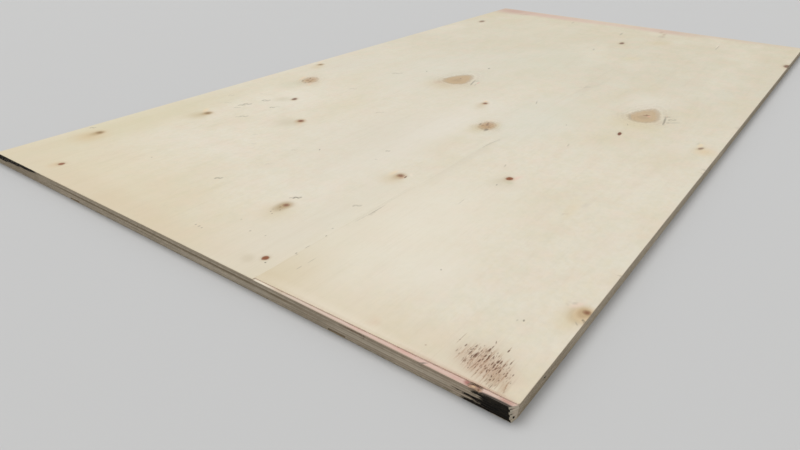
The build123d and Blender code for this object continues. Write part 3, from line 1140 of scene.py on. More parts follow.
@dataclass
class FaceVeneer(Ply):
    """A face veneer, whose top carries the knots and the marks and takes nearly all of the map.

    Its inner points keep clear of the sides by the rim.
    """

    wear: FaceWear | None = None
    blots: tuple[Blot, ...] = ()

    SHARES = (0.0, 0.3, 0.62, 0.86, 1.0)
    MAP_ROWS = 4
    WALL_BAND = 0.05
    TOP_BAND = 0.985
    JOINT_WAY = 1.0
    JOINT_PLACES = (0, 90, 150, 225, 370, 570, 620, 690, 800, 850, 1280, 1320, 1700, 1800)
    JOINT_GAPS = (0.05, 0.03, 0.01, 0.06, 0.01, 0.01, 0, 0.03, 0.03, 0, 0, 0.02, 0.01, 0)
    GRID_STEPS = (16.0, 8.0, 4.0, 2.0, 1.0, 0.5)
    TORN_PATCH = (58.0, 68.0, 48.0, 50.0, 1.4)
    RIM = 2.2

    def relief(self, x: Array, y: Array) -> Array:
        """The face's own relief."""
        return self.wear.relief(x, y)

    def fields(self, x: Array, y: Array) -> dict[str, Array]:
        """The face's own fields."""
        return self.wear.fields(x, y, self.blots)

    def depth(self, side: Side, along: Array, share: float) -> Array:
        """Adds the eased arris of the face, and keeps the joint tight where it has not opened."""
        eased = 0.28 * ramp(share, 0.8, 1.0)
        if side is not Side.JOINT:
            return super().depth(side, along, share) + eased
        gap = 0.01 + 0.03 * self.noise.octaves(along / 22.0, 3.0, 2)
        shown = np.interp(along, self.JOINT_PLACES, self.JOINT_GAPS)
        depth = self.broken(side, along, share, gap + shown + 0.08 * eased)
        return depth + self.JOINT_WAY * self.sheet.joint_bow(along)

    def inner_points(self) -> Array:
        """Points that lie closer together where there is a knot or a mark."""
        features = [(k.x, k.y, k.length * 0.75, k.width * 0.75, max(1.3, k.width / 14)) for k in KNOTS]
        for m in MARKS:
            fine = 0.5 if m.tone is Tone.BURN and m.width < 5.0 else max(0.8, m.width / 2.6)
            features.append((m.x, m.y, m.length * 0.6, m.width * 0.75, fine))
        features.append(self.TORN_PATCH)
        low_y, *_, high_y = sorted(c[1] for c in self.corners(self.top))
        chosen = []
        for size in self.GRID_STEPS:
            areas = [(0.0, low_y, self.sheet.length, high_y)]
            if size < 4.0:
                reach = 8 * size
                areas = [
                    (
                        fx - ax - reach,
                        max(fy - ay - reach, low_y),
                        fx + ax + reach,
                        min(fy + ay + reach, high_y),
                    )
                    for fx, fy, ax, ay, _ in features
                    if low_y < fy + ay and fy - ay < high_y
                ]
            x, y = self.grid(areas, size)
            wanted = np.full(len(x), self.GRID_STEPS[0])
            for fx, fy, ax, ay, fine in features:
                radius = np.hypot((x - fx) / ax, (y - fy) / ay)
                unit = np.minimum(np.hypot(x - fx, y - fy) / np.maximum(radius, 1e-6), 99.0)
                away = np.maximum(radius - 1.0, 0.0) * unit
                wanted = np.minimum(wanted, fine + 0.28 * away)
            keep = 2.0 ** np.round(np.log2(np.maximum(wanted, self.GRID_STEPS[-1]))) == size
            chosen.append(np.column_stack([x[keep], y[keep]]))
        points = np.vstack(chosen)
        points = points + 0.06 * (self.noise.at(points[:, :1] * 3.7, points[:, 1:] * 3.7) - 0.5)
        return points[self.inside(*points.T)]

    @staticmethod
    def grid(areas: Sequence[tuple[float, float, float, float]], size: float) -> Array:
        """The points of one square grid that lie in any of the areas.

        Args:
            areas: The lowest x and y and the highest x and y of each area.
            size: The grid's step.

        Returns:
            The places along the length, and the places across the width.
        """
        blocks = []
        for low_x, low_y, high_x, high_y in areas:
            columns = np.arange(math.ceil(low_x / size), math.floor(high_x / size) + 1)
            rows = np.arange(math.ceil(low_y / size), math.floor(high_y / size) + 1)
            blocks.append(grid_points(columns, rows))
        return (np.unique(np.vstack(blocks), axis=0) * size).T

    def inside(self, x: Array, y: Array) -> Array:
        """Whether points lie clear of the outline."""
        raise NotImplementedError


class WideFaceVeneer(FaceVeneer):
    """The face veneer between the joint and the far side."""

    SIDES = (Side.JOINT, Side.FAR_END, Side.FAR_SIDE, Side.NEAR_END)
    JOINT_WAY = -1.0

    def corners(self, height: float) -> list[Plan]:
        """The corners where the sides start."""
        s = self.sheet
        near = [(0.0, s.joint_at_near_end), (s.length, s.joint_at_far_end)]
        return [*near, (s.length, s.width), (0.0, s.width)]

    def inside(self, x: Array, y: Array) -> Array:
        """Whether points lie clear of the outline."""
        s = self.sheet
        joint = s.joint(x) - s.joint_bow(x) + 1.6
        return (x > self.RIM) & (x < s.length - self.RIM) & (y > joint) & (y < s.width - self.RIM)


class NarrowFaceVeneer(FaceVeneer):
    """The face veneer between the near side and the joint, which stops short of the near end."""

    SIDES = (Side.NEAR_SIDE, Side.FAR_END, Side.JOINT, Side.NEAR_END, Side.CORNER)

    def corners(self, height: float) -> list[Plan]:
        """The corners where the sides start."""
        s = self.sheet
        along = s.corner_along + s.corner_grain_split
        cut = s.corner_across_top * (1.0 - s.ledge_at_corner / along)
        return [
            (along, 0.0),
            (s.length, 0.0),
            (s.length, s.joint_at_far_end),
            (s.ledge_at_joint, float(s.joint(s.ledge_at_joint))),
            (s.ledge_at_corner, cut),
        ]

    def inside(self, x: Array, y: Array) -> Array:
        """Whether points lie clear of the outline and of its notches."""
        s = self.sheet
        ledge = s.ledge_at_corner + y / s.joint_at_near_end * (s.ledge_at_joint - s.ledge_at_corner)
        joint = s.joint(x) - s.joint_bow(x) - 2.4
        clear = (x > ledge + self.RIM) & (x < s.length - self.RIM) & (y > self.RIM) & (y < joint)
        torn = np.hypot((x - 5.0) / 9.0, (y - 55.0) / 12.0) > 1.0
        fallen = np.hypot((x - s.edge_knot) / 20.0, y / 11.5) > 1.0
        return clear & torn & fallen & (x + y > 16.0)


@dataclass(frozen=True)
class FibrePatch:
    """Where loose fibres are rooted, and how long, thick, raised and spread they are.

    The areas are in plan millimetres. The density is the number of fibres in a square metre, and the two
    angles are in degrees.
    """

    name: str
    slot: str
    finish: str
    areas: tuple[tuple[tuple[float, float, float], ...], ...]
    density: float
    length: float
    thickness: float
    tilt: float
    yaw: float
    seed: int


def level_area(height: float, *corners: Plan) -> tuple[tuple[float, float, float], ...]:
    """A level area for roots, from its corners."""
    return tuple((x, y, height) for x, y in corners)


LEDGE_AREA = level_area(22.2, (10.6, 12.0), (9.4, 12.0), (4.8, 428.0), (6.0, 428.0))
CHIP_AREAS = tuple(
    level_area(height, (18.5, y), (12.5, y), (12.5, y + 29.0), (18.5, y + 29.0))
    for y in (252.5, 906.5)
    for height in (0.7, 1.7, 2.7)
)
TORN_AREA = level_area(
    22.5,
    *((20.0, 50.0), (28.0, 92.0), (48.0, 108.0), (72.0, 104.0), (90.0, 85.0)),
    *((92.0, 60.0), (80.0, 38.0), (55.0, 26.0), (32.0, 30.0)),
)
FIBRE_PATCHES = (
    FibrePatch("ledge_fibres", "face_veneer", "pale_fibre", (LEDGE_AREA,), 420000.0, 2.6, 0.34, 6.0, 16.0, 3),
    FibrePatch("chip_fibres", "back_ply", "pale_fibre", CHIP_AREAS, 130000.0, 9.0, 0.8, 2.0, 7.0, 4),
    FibrePatch("torn_fibres", "face_veneer", "singed_fibre", (TORN_AREA,), 60000.0, 6.0, 0.4, 2.0, 12.0, 5),
)


class Nodes:
    """Adds nodes to a tree and joins them."""

    def __init__(self, tree: bpy.types.NodeTree) -> None:
        """Keeps the tree."""
        self.tree = tree

    def feed(self, node: bpy.types.Node, key: int | str, value: object) -> None:
        """Gives an input a value, or the socket that drives it."""
        if isinstance(value, bpy.types.NodeSocket):
            self.tree.links.new(value, node.inputs[key])
        else:
            node.inputs[key].default_value = value

    def add(
        self, kind: str, inputs: dict[int | str, object] | None = None, **settings: object
    ) -> bpy.types.Node:
        """Adds a node.

        Args:
            kind: The node's type.
            inputs: Values or sockets by the input's name or number.
            settings: The node's own properties.

        Returns:
            The node.
        """
        node = self.tree.nodes.new(kind)
        for name, value in settings.items():
            setattr(node, name, value)
        for key, value in (inputs or {}).items():
            self.feed(node, key, value)
        return node

    def math(self, operation: str, first: object, second: object = 0.0, third: object = 0.0) -> Socket:
        """A Math node's result."""
        return self.add("ShaderNodeMath", {0: first, 1: second, 2: third}, operation=operation).outputs[0]

    def times(self, first: object, second: object) -> Socket:
        """A product."""
        return self.math("MULTIPLY", first, second)

    def line(self, value: object, slope: object, start: object) -> Socket:
        """A value times a slope, plus a start."""
        return self.math("MULTIPLY_ADD", value, slope, start)

    def step(self, value: object, start: object, end: object, low: float = 0.0, high: float = 1.0) -> Socket:
        """A smooth step from low at start to high at end."""
        inputs = {0: value, 1: start, 2: end, 3: low, 4: high}
        return self.add("ShaderNodeMapRange", inputs, interpolation_type="SMOOTHSTEP").outputs[0]

    def blend(self, share: object, first: object, second: object, kind: str = "MIX") -> Socket:
        """A mix of two colours, each a socket or written."""
        first, second = (linear(c) if isinstance(c, str) else c for c in (first, second))
        inputs = {0: share, 6: first, 7: second}
        return self.add("ShaderNodeMix", inputs, data_type="RGBA", blend_type=kind).outputs[2]

    def scaled(self, vector: Socket, scale: Sequence[float], offset: Sequence[float] = (0, 0, 0)) -> Socket:
        """A pattern's coordinates, scaled and moved by a Mapping node."""
        return self.add("ShaderNodeMapping", {0: vector, 1: offset, 3: scale}).outputs[0]

    def noise(self, vector: Socket, detail: float = 2.0, rough: float = 0.6, scale: object = 1.0) -> Socket:
        """A noise texture's value."""
        inputs = {"Vector": vector, "Scale": scale, "Detail": detail, "Roughness": rough}
        return self.add("ShaderNodeTexNoise", inputs).outputs["Fac"]

    def parts(self, vector: Socket) -> bpy.types.NodeOutputs:
        """The three parts of a vector."""
        return self.add("ShaderNodeSeparateXYZ", {0: vector}).outputs

    def read(self, name: str) -> bpy.types.Node:
        """A mesh attribute."""
        return self.add("ShaderNodeAttribute", attribute_name=name, attribute_type="GEOMETRY")

    def share(self, name: str) -> Socket:
        """A mesh attribute of one number."""
        return self.read(name).outputs["Fac"]

    def group(self, tree: bpy.types.NodeTree, inputs: dict[str, object]) -> bpy.types.NodeOutputs:
        """The results of a shared effect."""
        return self.add("ShaderNodeGroup", inputs, node_tree=tree).outputs


class EffectGroups:
    """The shader node groups that more than one finish uses, each built once."""

    def __init__(self) -> None:
        """Builds the groups."""
        self.fibres = self.build_fibres()
        self.soiling = self.build_soiling()
        self.black_paint_and_shade = self.build_black_paint_and_shade()

    @staticmethod
    def start(
        name: str, inputs: dict[str, object], outputs: Sequence[str]
    ) -> tuple[Nodes, bpy.types.NodeOutputs, bpy.types.Node]:
        """Starts a group with named sockets.

        Args:
            name: The group's name.
            inputs: Each input's default: a number, a vector, or nothing for a vector without one.
            outputs: The outputs' names, each a number.

        Returns:
            The tree's helper, the given values and the output node.
        """
        tree = bpy.data.node_groups.new(name, "ShaderNodeTree")
        for title, value in inputs.items():
            kind = "NodeSocketFloat" if isinstance(value, float) else "NodeSocketVector"
            socket = tree.interface.new_socket(name=title, in_out="INPUT", socket_type=kind)
            if value is not None:
                socket.default_value = value
        for title in outputs:
            tree.interface.new_socket(name=title, in_out="OUTPUT", socket_type="NodeSocketFloat")
        nodes = Nodes(tree)
        return nodes, nodes.add("NodeGroupInput").outputs, nodes.add("NodeGroupOutput")

    def build_fibres(self) -> bpy.types.NodeTree:
        """Wood grain: fine fibres, broad bands, and pores that are short and dark."""
        inputs = {"Vector": None, "Fine": (12.0, 900.0, 900.0), "Broad": (1.5, 40.0, 40.0)}
        n, given, out = self.start("wood_fibres", inputs, ("Fine", "Broad", "Pores"))
        fine, broad = (
            n.add("ShaderNodeVectorMath", {0: given[0], 1: scale}, operation="MULTIPLY").outputs[0]
            for scale in (given[1], given[2])
        )
        n.feed(out, 0, n.noise(fine, 3.0))
        n.feed(out, 1, n.noise(broad, 3.0, 0.5))
        n.feed(out, 2, n.step(n.noise(fine, 1.0, 0.5, 2.3), 0.68, 0.8))
        return n.tree

    def build_soiling(self) -> bpy.types.NodeTree:
        """Uneven dirt and age: a cloudy mask and a finer grainy one."""
        n, given, out = self.start("soiling", {"Vector": None, "Scale": 6.0}, ("Clouds", "Grit"))
        n.feed(out, 0, n.step(n.noise(given[0], 4.0, 0.6, given[1]), 0.32, 0.7))
        n.feed(out, 1, n.step(n.noise(given[0], 2.0, 0.7, n.times(given[1], 60.0)), 0.35, 0.75))
        return n.tree

    def build_black_paint_and_shade(self) -> bpy.types.NodeTree:
        """Edge paint that ends in streaks along the plies, from the painted share at each place; it also
        draws the painted shade in the chips and the slot.
        """
        n, given, out = self.start("black_edge_paint_and_shade", {"Vector": None, "Painted": 0.0}, ("Mask",))
        streaks = n.noise(n.scaled(given[0], (60.0, 60.0, 1300.0)), 4.0, 0.7)
        drawn = n.step(n.math("ADD", given[1], n.line(streaks, 1.7, -0.85)), 0.38, 0.62)
        n.feed(out, 0, n.times(drawn, n.step(given[1], 0.02, 0.12)))
        return n.tree


class Surface:
    """A material in the making, with its nodes, its shader and the object's coordinates."""

    def __init__(self, name: str, groups: EffectGroups) -> None:
        """Starts the material."""
        self.material = bpy.data.materials.new(name)
        self.material.use_nodes = True
        self.nodes = Nodes(self.material.node_tree)
        self.shader = self.material.node_tree.nodes["Principled BSDF"]
        self.place = self.nodes.add("ShaderNodeTexCoord").outputs["Object"]
        self.groups = groups

    def pattern(self, scale: Sequence[float], detail: float = 2.0, rough: float = 0.6) -> Socket:
        """A noise texture over the object, scaled."""
        return self.nodes.noise(self.nodes.scaled(self.place, scale), detail, rough)

    def walls(self) -> tuple[Socket, Socket]:
        """The share of the upright sides, and that of all that isn't level."""
        n = self.nodes
        level = n.math("ABSOLUTE", n.parts(n.add("ShaderNodeNewGeometry").outputs["True Normal"])[2])
        return n.step(level, 0.75, 0.45), n.step(level, 0.97, 0.85)

    def painted(self, steep: Socket) -> Socket:
        """The share of the black edge paint, with the painted shade in the back ply's chips and the centre
        crossband's slot.
        """
        inputs = {"Vector": self.place, "Painted": self.nodes.share("paint_and_recess_shade")}
        return self.nodes.times(self.nodes.group(self.groups.black_paint_and_shade, inputs)[0], steep)

    def finish(
        self,
        colour: Socket,
        rough: Socket,
        specular: object,
        height: Socket,
        strength: float,
        distance: float,
    ) -> bpy.types.Material:
        """Joins the results to the shader.

        Args:
            colour: The base colour.
            rough: The roughness.
            specular: The specular level.
            height: The height of the bump.
            strength: The strength of the bump.
            distance: The depth of the bump, in metres.

        Returns:
            The finished material.
        """
        inputs = {"Strength": strength, "Distance": distance, "Height": height}
        bump = self.nodes.add("ShaderNodeBump", inputs).outputs[0]
        named = {"Base Color": colour, "Roughness": rough, "Specular IOR Level": specular, "Normal": bump}
        for key, value in named.items():
            self.nodes.feed(self.shader, key, value)
        return self.material


@dataclass(frozen=True)
class FaceFinish:
    """The peeled face veneer: cream, cloudy, with soft grain that flows round its knots."""

    name: str = "peeled_face_veneer"
    # Colours along the length: the veneer's tone with painted light, brightest from a tenth to a third of the
    # way and darker to the far end
    near: str = "ddd2ba"
    bright: str = "e3dccb"
    middle: str = "dcd5c3"
    far: str = "d6d0be"
    end: str = "d3cbb4"
    pale: str = "e6e0d0"
    tan: str = "d3c7a6"
    edge: str = "d8cab0"
    torn_edge: str = "f8dfd2"
    halo: str = "c6aa80"
    tail: str = "b9a27a"
    black: str = "0d0e0e"

    def build(self, groups: EffectGroups) -> bpy.types.Material:
        """Builds the material.

        Args:
            groups: The shared effects.

        Returns:
            The material.
        """
        s = Surface(self.name, groups)
        n = s.nodes
        flow = n.read("flow").outputs["Vector"]
        grain = {"Vector": flow, "Fine": (22.0, 950.0, 40.0), "Broad": (4.0, 45.0, 20.0)}
        fibres = n.group(groups.fibres, grain)
        soiling = n.group(groups.soiling, {"Vector": n.scaled(s.place, (0.6, 1.0, 1.0)), "Scale": 7.0})
        colour = self.stained(n, self.ground(s, soiling["Clouds"]), fibres["Broad"])
        colour, knot_height = self.knotted(s, flow, colour)
        colour = self.grained(n, flow, self.marked(s, colour), fibres)
        colour, wall = self.sawn(s, colour)
        gloss = n.line(soiling["Clouds"], 0.06, n.line(fibres["Fine"], 0.16, 0.5))
        height = n.line(fibres["Fine"], 0.5, n.times(fibres["Broad"], 0.12))
        height = n.math("ADD", n.math("SUBTRACT", height, n.times(fibres["Pores"], 0.3)), knot_height)
        return s.finish(colour, n.line(wall, 0.25, gloss), 0.35, height, 0.4, 0.00015)

    def ground(self, s: Surface, clouds: Socket) -> Socket:
        """The veneer's colour in clouds, on its tone with painted light that changes slowly along the sheet:
        lightest from a tenth to a third of the way along and darker towards the far end.
        """
        n = s.nodes
        length = CAD_BOX[1][0] - CAD_BOX[0][0]
        ramp_node = n.add("ShaderNodeValToRGB", {0: n.line(n.parts(s.place)[0], 1 / length, 0.5)})
        stops = ramp_node.color_ramp.elements
        stops[0].color = linear(self.near)
        stops[1].color = linear(self.end)
        inner = {0.08: self.bright, 0.3: self.bright, 0.5: self.middle, 0.66: self.far}
        for position, written in inner.items():
            stops.new(position).color = linear(written)
        patches = s.pattern((2.4, 5.5, 1.0), 3.0, 0.5)
        colour = n.blend(n.step(patches, 0.5, 0.72, 0.0, 0.45), ramp_node.outputs[0], self.pale)
        colour = n.blend(n.step(patches, 0.5, 0.28, 0.0, 0.4), colour, self.tan)
        fine = ((80.0, 0.15, "c7c2ad"), (64.0, 0.17, "e6d5b0"), (24.0, 0.16, "cbc6a8"))
        for scale, share, written in (*fine, (17.0, 0.2, "e8cfc0"), (8.0, 0.16, "dfe0d4")):
            place = n.scaled(s.place, (scale, scale * 1.2, 1.0), (scale * 0.37, 0.0, 0.0))
            colour = n.blend(n.step(n.noise(place, 3.0), 0.4, 0.66, 0.0, share), colour, written)
        return n.blend(n.times(clouds, 0.1), colour, self.tan)

    def stained(self, n: Nodes, colour: Socket, bands: Socket) -> Socket:
        """The broad stains, broken up a little along the grain."""
        stain = n.read("stain").outputs
        share = n.times(stain["Alpha"], n.math("MINIMUM", n.line(bands, 0.7, 0.65), 1.0))
        return n.blend(share, colour, stain["Color"])

    def knotted(self, s: Surface, flow: Socket, colour: Socket) -> tuple[Socket, Socket]:
        """The knots: stained halo and tail, rings, a core with a dark rim, and broken flecks.

        Args:
            s: The material.
            flow: Coordinates that follow the grain.
            colour: The colour below.

        Returns:
            The colour and the height of the knots.
        """
        n = s.nodes
        distance, halo, tail = n.parts(n.read("knot").outputs["Vector"])
        strength, rim_share, speckle = n.parts(n.read("knot_look").outputs["Vector"])
        wobble = s.pattern((130.0, 190.0, 60.0))
        radius = n.math("ADD", distance, n.line(wobble, 0.5, -0.25))
        colour = n.blend(n.times(tail, 0.62), colour, self.tail)
        colour = n.blend(n.times(halo, 0.6), colour, self.halo)
        waves = n.math("SINE", n.line(wobble, 5.0, n.times(radius, 17.0)))
        ring = n.times(n.line(waves, 0.5, 0.5), n.step(radius, 2.6, 0.9))
        colour = n.blend(n.times(ring, 0.14), colour, "8a6a45")
        hue = n.read("knot_colour").outputs
        border = n.line(hue["Alpha"], 0.5, 1.1)
        middle = n.line(hue["Alpha"], -0.85, 0.82)
        colour = n.blend(n.times(n.step(radius, border, middle), strength), colour, hue["Color"])
        rim = n.times(n.step(n.math("ABSOLUTE", n.math("SUBTRACT", radius, 0.98)), 0.2, 0.0), rim_share)
        colour = n.blend(n.times(rim, n.times(wobble, 1.25)), colour, "5a3d27")
        heart = n.times(n.step(radius, 0.55, 0.1), rim_share)
        colour = n.blend(n.times(heart, 0.6), colour, "3d2010")
        flecks = n.noise(n.scaled(flow, (120.0, 420.0, 40.0)))
        broken = n.times(n.times(n.step(flecks, 0.56, 0.7), n.step(radius, 1.15, 0.9)), speckle)
        colour = n.blend(n.times(broken, 0.55), colour, "7a5d3e")
        return colour, n.line(ring, 0.5, n.times(rim, -0.9))

    def marked(self, s: Surface, colour: Socket) -> Socket:
        """The flecks, cracks and burnt fibres."""
        n = s.nodes
        torn = n.share("torn")
        strands = s.pattern((26.0, 520.0, 60.0), 3.0)
        colour = n.blend(n.times(n.step(strands, 0.46, 0.64), n.times(torn, 0.6)), colour, "b18d70")
        clots = n.step(n.line(torn, 0.2, s.pattern((100.0, 560.0, 60.0), 2.0, 0.55)), 0.72, 0.86)
        colour = n.blend(n.times(n.times(clots, torn), 0.6), colour, "74492e")
        mark = n.share("mark")
        grit = s.pattern((160.0, 700.0, 60.0))
        ragged = n.times(mark, n.step(n.line(mark, 0.6, grit), 0.35, 0.7))
        return n.blend(ragged, colour, n.read("mark_colour").outputs["Color"])

    def grained(self, n: Nodes, flow: Socket, colour: Socket, fibres: bpy.types.NodeOutputs) -> Socket:
        """The fibres' light and dark over everything."""
        colour = n.blend(n.step(fibres["Fine"], 0.5, 0.78, 0.0, 0.1), colour, "c9bb9c", "MULTIPLY")
        colour = n.blend(n.step(fibres["Broad"], 0.5, 0.78, 0.0, 0.07), colour, "d3c7aa", "MULTIPLY")
        rings = n.noise(n.scaled(flow, (7.0, 190.0, 1.0)), 2.0, 0.5)
        colour = n.blend(n.step(rings, 0.52, 0.72, 0.0, 0.045), colour, "b7a684")
        return n.blend(n.times(fibres["Pores"], 0.12), colour, "a3906c")

    def sawn(self, s: Surface, colour: Socket) -> tuple[Socket, Socket]:
        """Darkens the sawn sides and lays the paint on them."""
        n = s.nodes
        wall, steep = s.walls()
        sides = n.blend(n.share("fresh"), self.edge, self.torn_edge)
        colour = n.blend(n.times(wall, 0.8), colour, sides)
        return n.blend(s.painted(steep), colour, self.black), wall


@dataclass(frozen=True)
class PlyFinish:
    """A ply's sawn sides and its bare faces, with fibres along or across the sheet."""

    name: str
    grain: Grain
    light: str
    dark: str
    face: str
    glue: str = "6b5c48"
    black: str = "0d0e0e"
    worn_black: str = "40392f"
    dirt: str = "8b8273"
    grime_and_shade: str = "776850"
    fresh: str = "e2d9c6"

    def build(self, groups: EffectGroups) -> bpy.types.Material:
        """Builds the material.

        Args:
            groups: The shared effects.

        Returns:
            The material.
        """
        s = Surface(self.name, groups)
        n = s.nodes
        along = self.grain is Grain.LENGTH
        fine = (25.0, 900.0, 900.0) if along else (900.0, 25.0, 900.0)
        broad = (5.0, 120.0, 260.0) if along else (120.0, 5.0, 260.0)
        fibres = n.group(groups.fibres, {"Vector": s.place, "Fine": fine, "Broad": broad})
        soiling = n.group(groups.soiling, {"Vector": s.place, "Scale": 14.0})
        wall, steep = s.walls()
        bands = n.line(fibres["Fine"], 0.5, n.times(fibres["Broad"], 0.6))
        saw_marks = s.pattern((420.0, 420.0, 30.0))
        sawn = n.blend(n.step(bands, 0.35, 0.75), self.light, self.dark)
        sawn = n.blend(n.step(saw_marks, 0.55, 0.75, 0.0, 0.3), sawn, self.dark)
        sawn = n.blend(n.times(soiling["Clouds"], 0.3), sawn, self.dirt)
        sawn = n.blend(n.times(n.share("glue"), 0.55), sawn, self.glue)
        # Grime, and painted shade in the notches and the slot
        sawn = n.blend(n.share("grime_and_shade"), sawn, self.grime_and_shade)
        sawn = n.blend(n.times(n.share("fresh"), 0.8), sawn, self.fresh)
        bare = n.blend(n.step(bands, 0.4, 0.75, 0.0, 0.5), self.face, self.light)
        stain = n.read("stain").outputs
        cover = n.times(stain["Alpha"], n.math("MINIMUM", n.line(fibres["Fine"], 0.8, 0.6), 1.0))
        colour = n.blend(n.times(cover, n.line(wall, -0.85, 1.0)), n.blend(wall, bare, sawn), stain["Color"])
        colour = n.blend(n.times(soiling["Grit"], 0.16), colour, self.dark)
        colour = n.blend(n.times(fibres["Pores"], 0.3), colour, self.glue)
        # Black edge paint, and painted shade in the back ply's chips and the centre crossband's slot
        painted = s.painted(steep)
        black = n.blend(n.step(bands, 0.4, 0.75, 0.0, 0.6), self.black, self.worn_black)
        rough = n.line(painted, -0.1, n.line(fibres["Fine"], 0.14, 0.74))
        height = n.line(fibres["Fine"], 1.0, n.times(saw_marks, 0.5))
        height = n.math("SUBTRACT", height, n.times(fibres["Pores"], 0.6))
        specular = n.line(painted, -0.2, 0.3)
        return s.finish(n.blend(painted, colour, black), rough, specular, height, 0.7, 0.0003)


@dataclass(frozen=True)
class FibreFinish:
    """A loose fibre: pale wood, singed in places."""

    name: str
    pale: str
    dark: str
    share: float

    def build(self, groups: EffectGroups) -> bpy.types.Material:
        """Builds the material.

        Args:
            groups: The shared effects.

        Returns:
            The material.
        """
        s = Surface(self.name, groups)
        n = s.nodes
        fine = n.group(groups.fibres, {"Vector": s.place, "Fine": (60.0, 1800.0, 1800.0)})["Fine"]
        clouds = n.group(groups.soiling, {"Vector": s.place, "Scale": 90.0})["Clouds"]
        colour = n.blend(n.times(clouds, self.share), self.pale, self.dark)
        colour = n.blend(n.times(fine, 0.3), colour, self.dark)
        return s.finish(colour, n.line(fine, 0.15, 0.65), 0.3, fine, 0.4, 0.0001)


class FibreScatter:
    """Scatters loose fibres over areas with one Geometry Nodes tree, and keeps them as plain meshes."""

    def __init__(self, sheet: Sheet) -> None:
        """Builds the tree."""
        self.sheet = sheet
        self.tree = self.build_tree()

    @staticmethod
    def build_tree() -> bpy.types.NodeTree:
        """Thin four-sided cones, rooted at random places, whose tips point to the near end."""
        tree = bpy.data.node_groups.new("loose_fibres", "GeometryNodeTree")
        sizes = ("Density", "Length", "Thickness", "Tilt", "Yaw")
        kinds = {"Geometry": "NodeSocketGeometry", **dict.fromkeys(sizes, "NodeSocketFloat")}
        kinds.update({"Seed": "NodeSocketInt", "Material": "NodeSocketMaterial"})
        for title, kind in kinds.items():
            tree.interface.new_socket(name=title, in_out="INPUT", socket_type=kind)
        tree.interface.new_socket(name="Geometry", in_out="OUTPUT", socket_type="NodeSocketGeometry")
        n = Nodes(tree)
        given = n.add("NodeGroupInput").outputs
        spread = {"Mesh": given["Geometry"], "Density": given["Density"], "Seed": given["Seed"]}
        points = n.add("GeometryNodeDistributePointsOnFaces", spread)
        cone = {"Vertices": 4, "Radius Top": 0.0, "Radius Bottom": 0.5, "Depth": 1.0}
        fibre = n.add("GeometryNodeMeshCone", cone)

        def chance(low: object, high: object, step: float) -> Socket:
            """A random number for each fibre."""
            seed = n.math("ADD", given["Seed"], step)
            return n.add("FunctionNodeRandomValue", {2: low, 3: high, 8: seed}).outputs[1]

        long = n.times(given["Length"], chance(0.3, 1.0, 1.0))
        size = n.add("ShaderNodeCombineXYZ", {0: given["Thickness"], 1: given["Thickness"], 2: long})
        lean = n.math("SUBTRACT", chance(0.0, given["Tilt"], 2.0), math.pi / 2)
        swing = chance(n.times(given["Yaw"], -1.0), given["Yaw"], 3.0)
        angles = n.add("ShaderNodeCombineXYZ", {1: lean, 2: swing}).outputs[0]
        way = n.add("FunctionNodeEulerToRotation", {0: angles})
        placed = {"Points": points.outputs["Points"], "Instance": fibre.outputs["Mesh"]}
        placed.update({"Rotation": way.outputs[0], "Scale": size.outputs[0]})
        fibres = n.add("GeometryNodeInstanceOnPoints", placed).outputs[0]
        whole = n.add("GeometryNodeRealizeInstances", {0: fibres}).outputs[0]
        dress = {"Geometry": whole, "Material": given["Material"]}
        n.add("NodeGroupOutput", {0: n.add("GeometryNodeSetMaterial", dress).outputs[0]})
        return tree

    def build(self, patch: FibrePatch, material: bpy.types.Material) -> bpy.types.Object:
        """Grows the fibres of one patch.

        Args:
            patch: Where they stand and what they are like.
            material: What they are made of.

        Returns:
            One plain mesh object.
        """
        mesh = bpy.data.meshes.new(patch.name + "_roots")
        corners = np.array([corner for area in patch.areas for corner in area])
        ends = np.cumsum([0, *(len(area) for area in patch.areas)]).tolist()
        faces = [tuple(range(first, last)) for first, last in zip(ends, ends[1:])]
        mesh.from_pydata(self.sheet.row(corners).tolist(), [], faces)
        roots = add_object(patch.name + "_roots", mesh)
        modifier = roots.modifiers.new("fibres", "NODES")
        modifier.node_group = self.tree
        values = {
            "Density": patch.density,
            "Length": patch.length * MM,
            "Thickness": patch.thickness * MM,
            "Tilt": math.radians(patch.tilt),
            "Yaw": math.radians(patch.yaw),
            "Seed": patch.seed,
            "Material": material,
        }
        for item in self.tree.interface.items_tree:
            if item.in_out == "INPUT" and item.name in values:
                modifier[item.identifier] = values[item.name]
        grown = roots.evaluated_get(bpy.context.evaluated_depsgraph_get())
        piece = add_object(patch.name, bpy.data.meshes.new_from_object(grown))
        bpy.data.objects.remove(roots)
        return piece


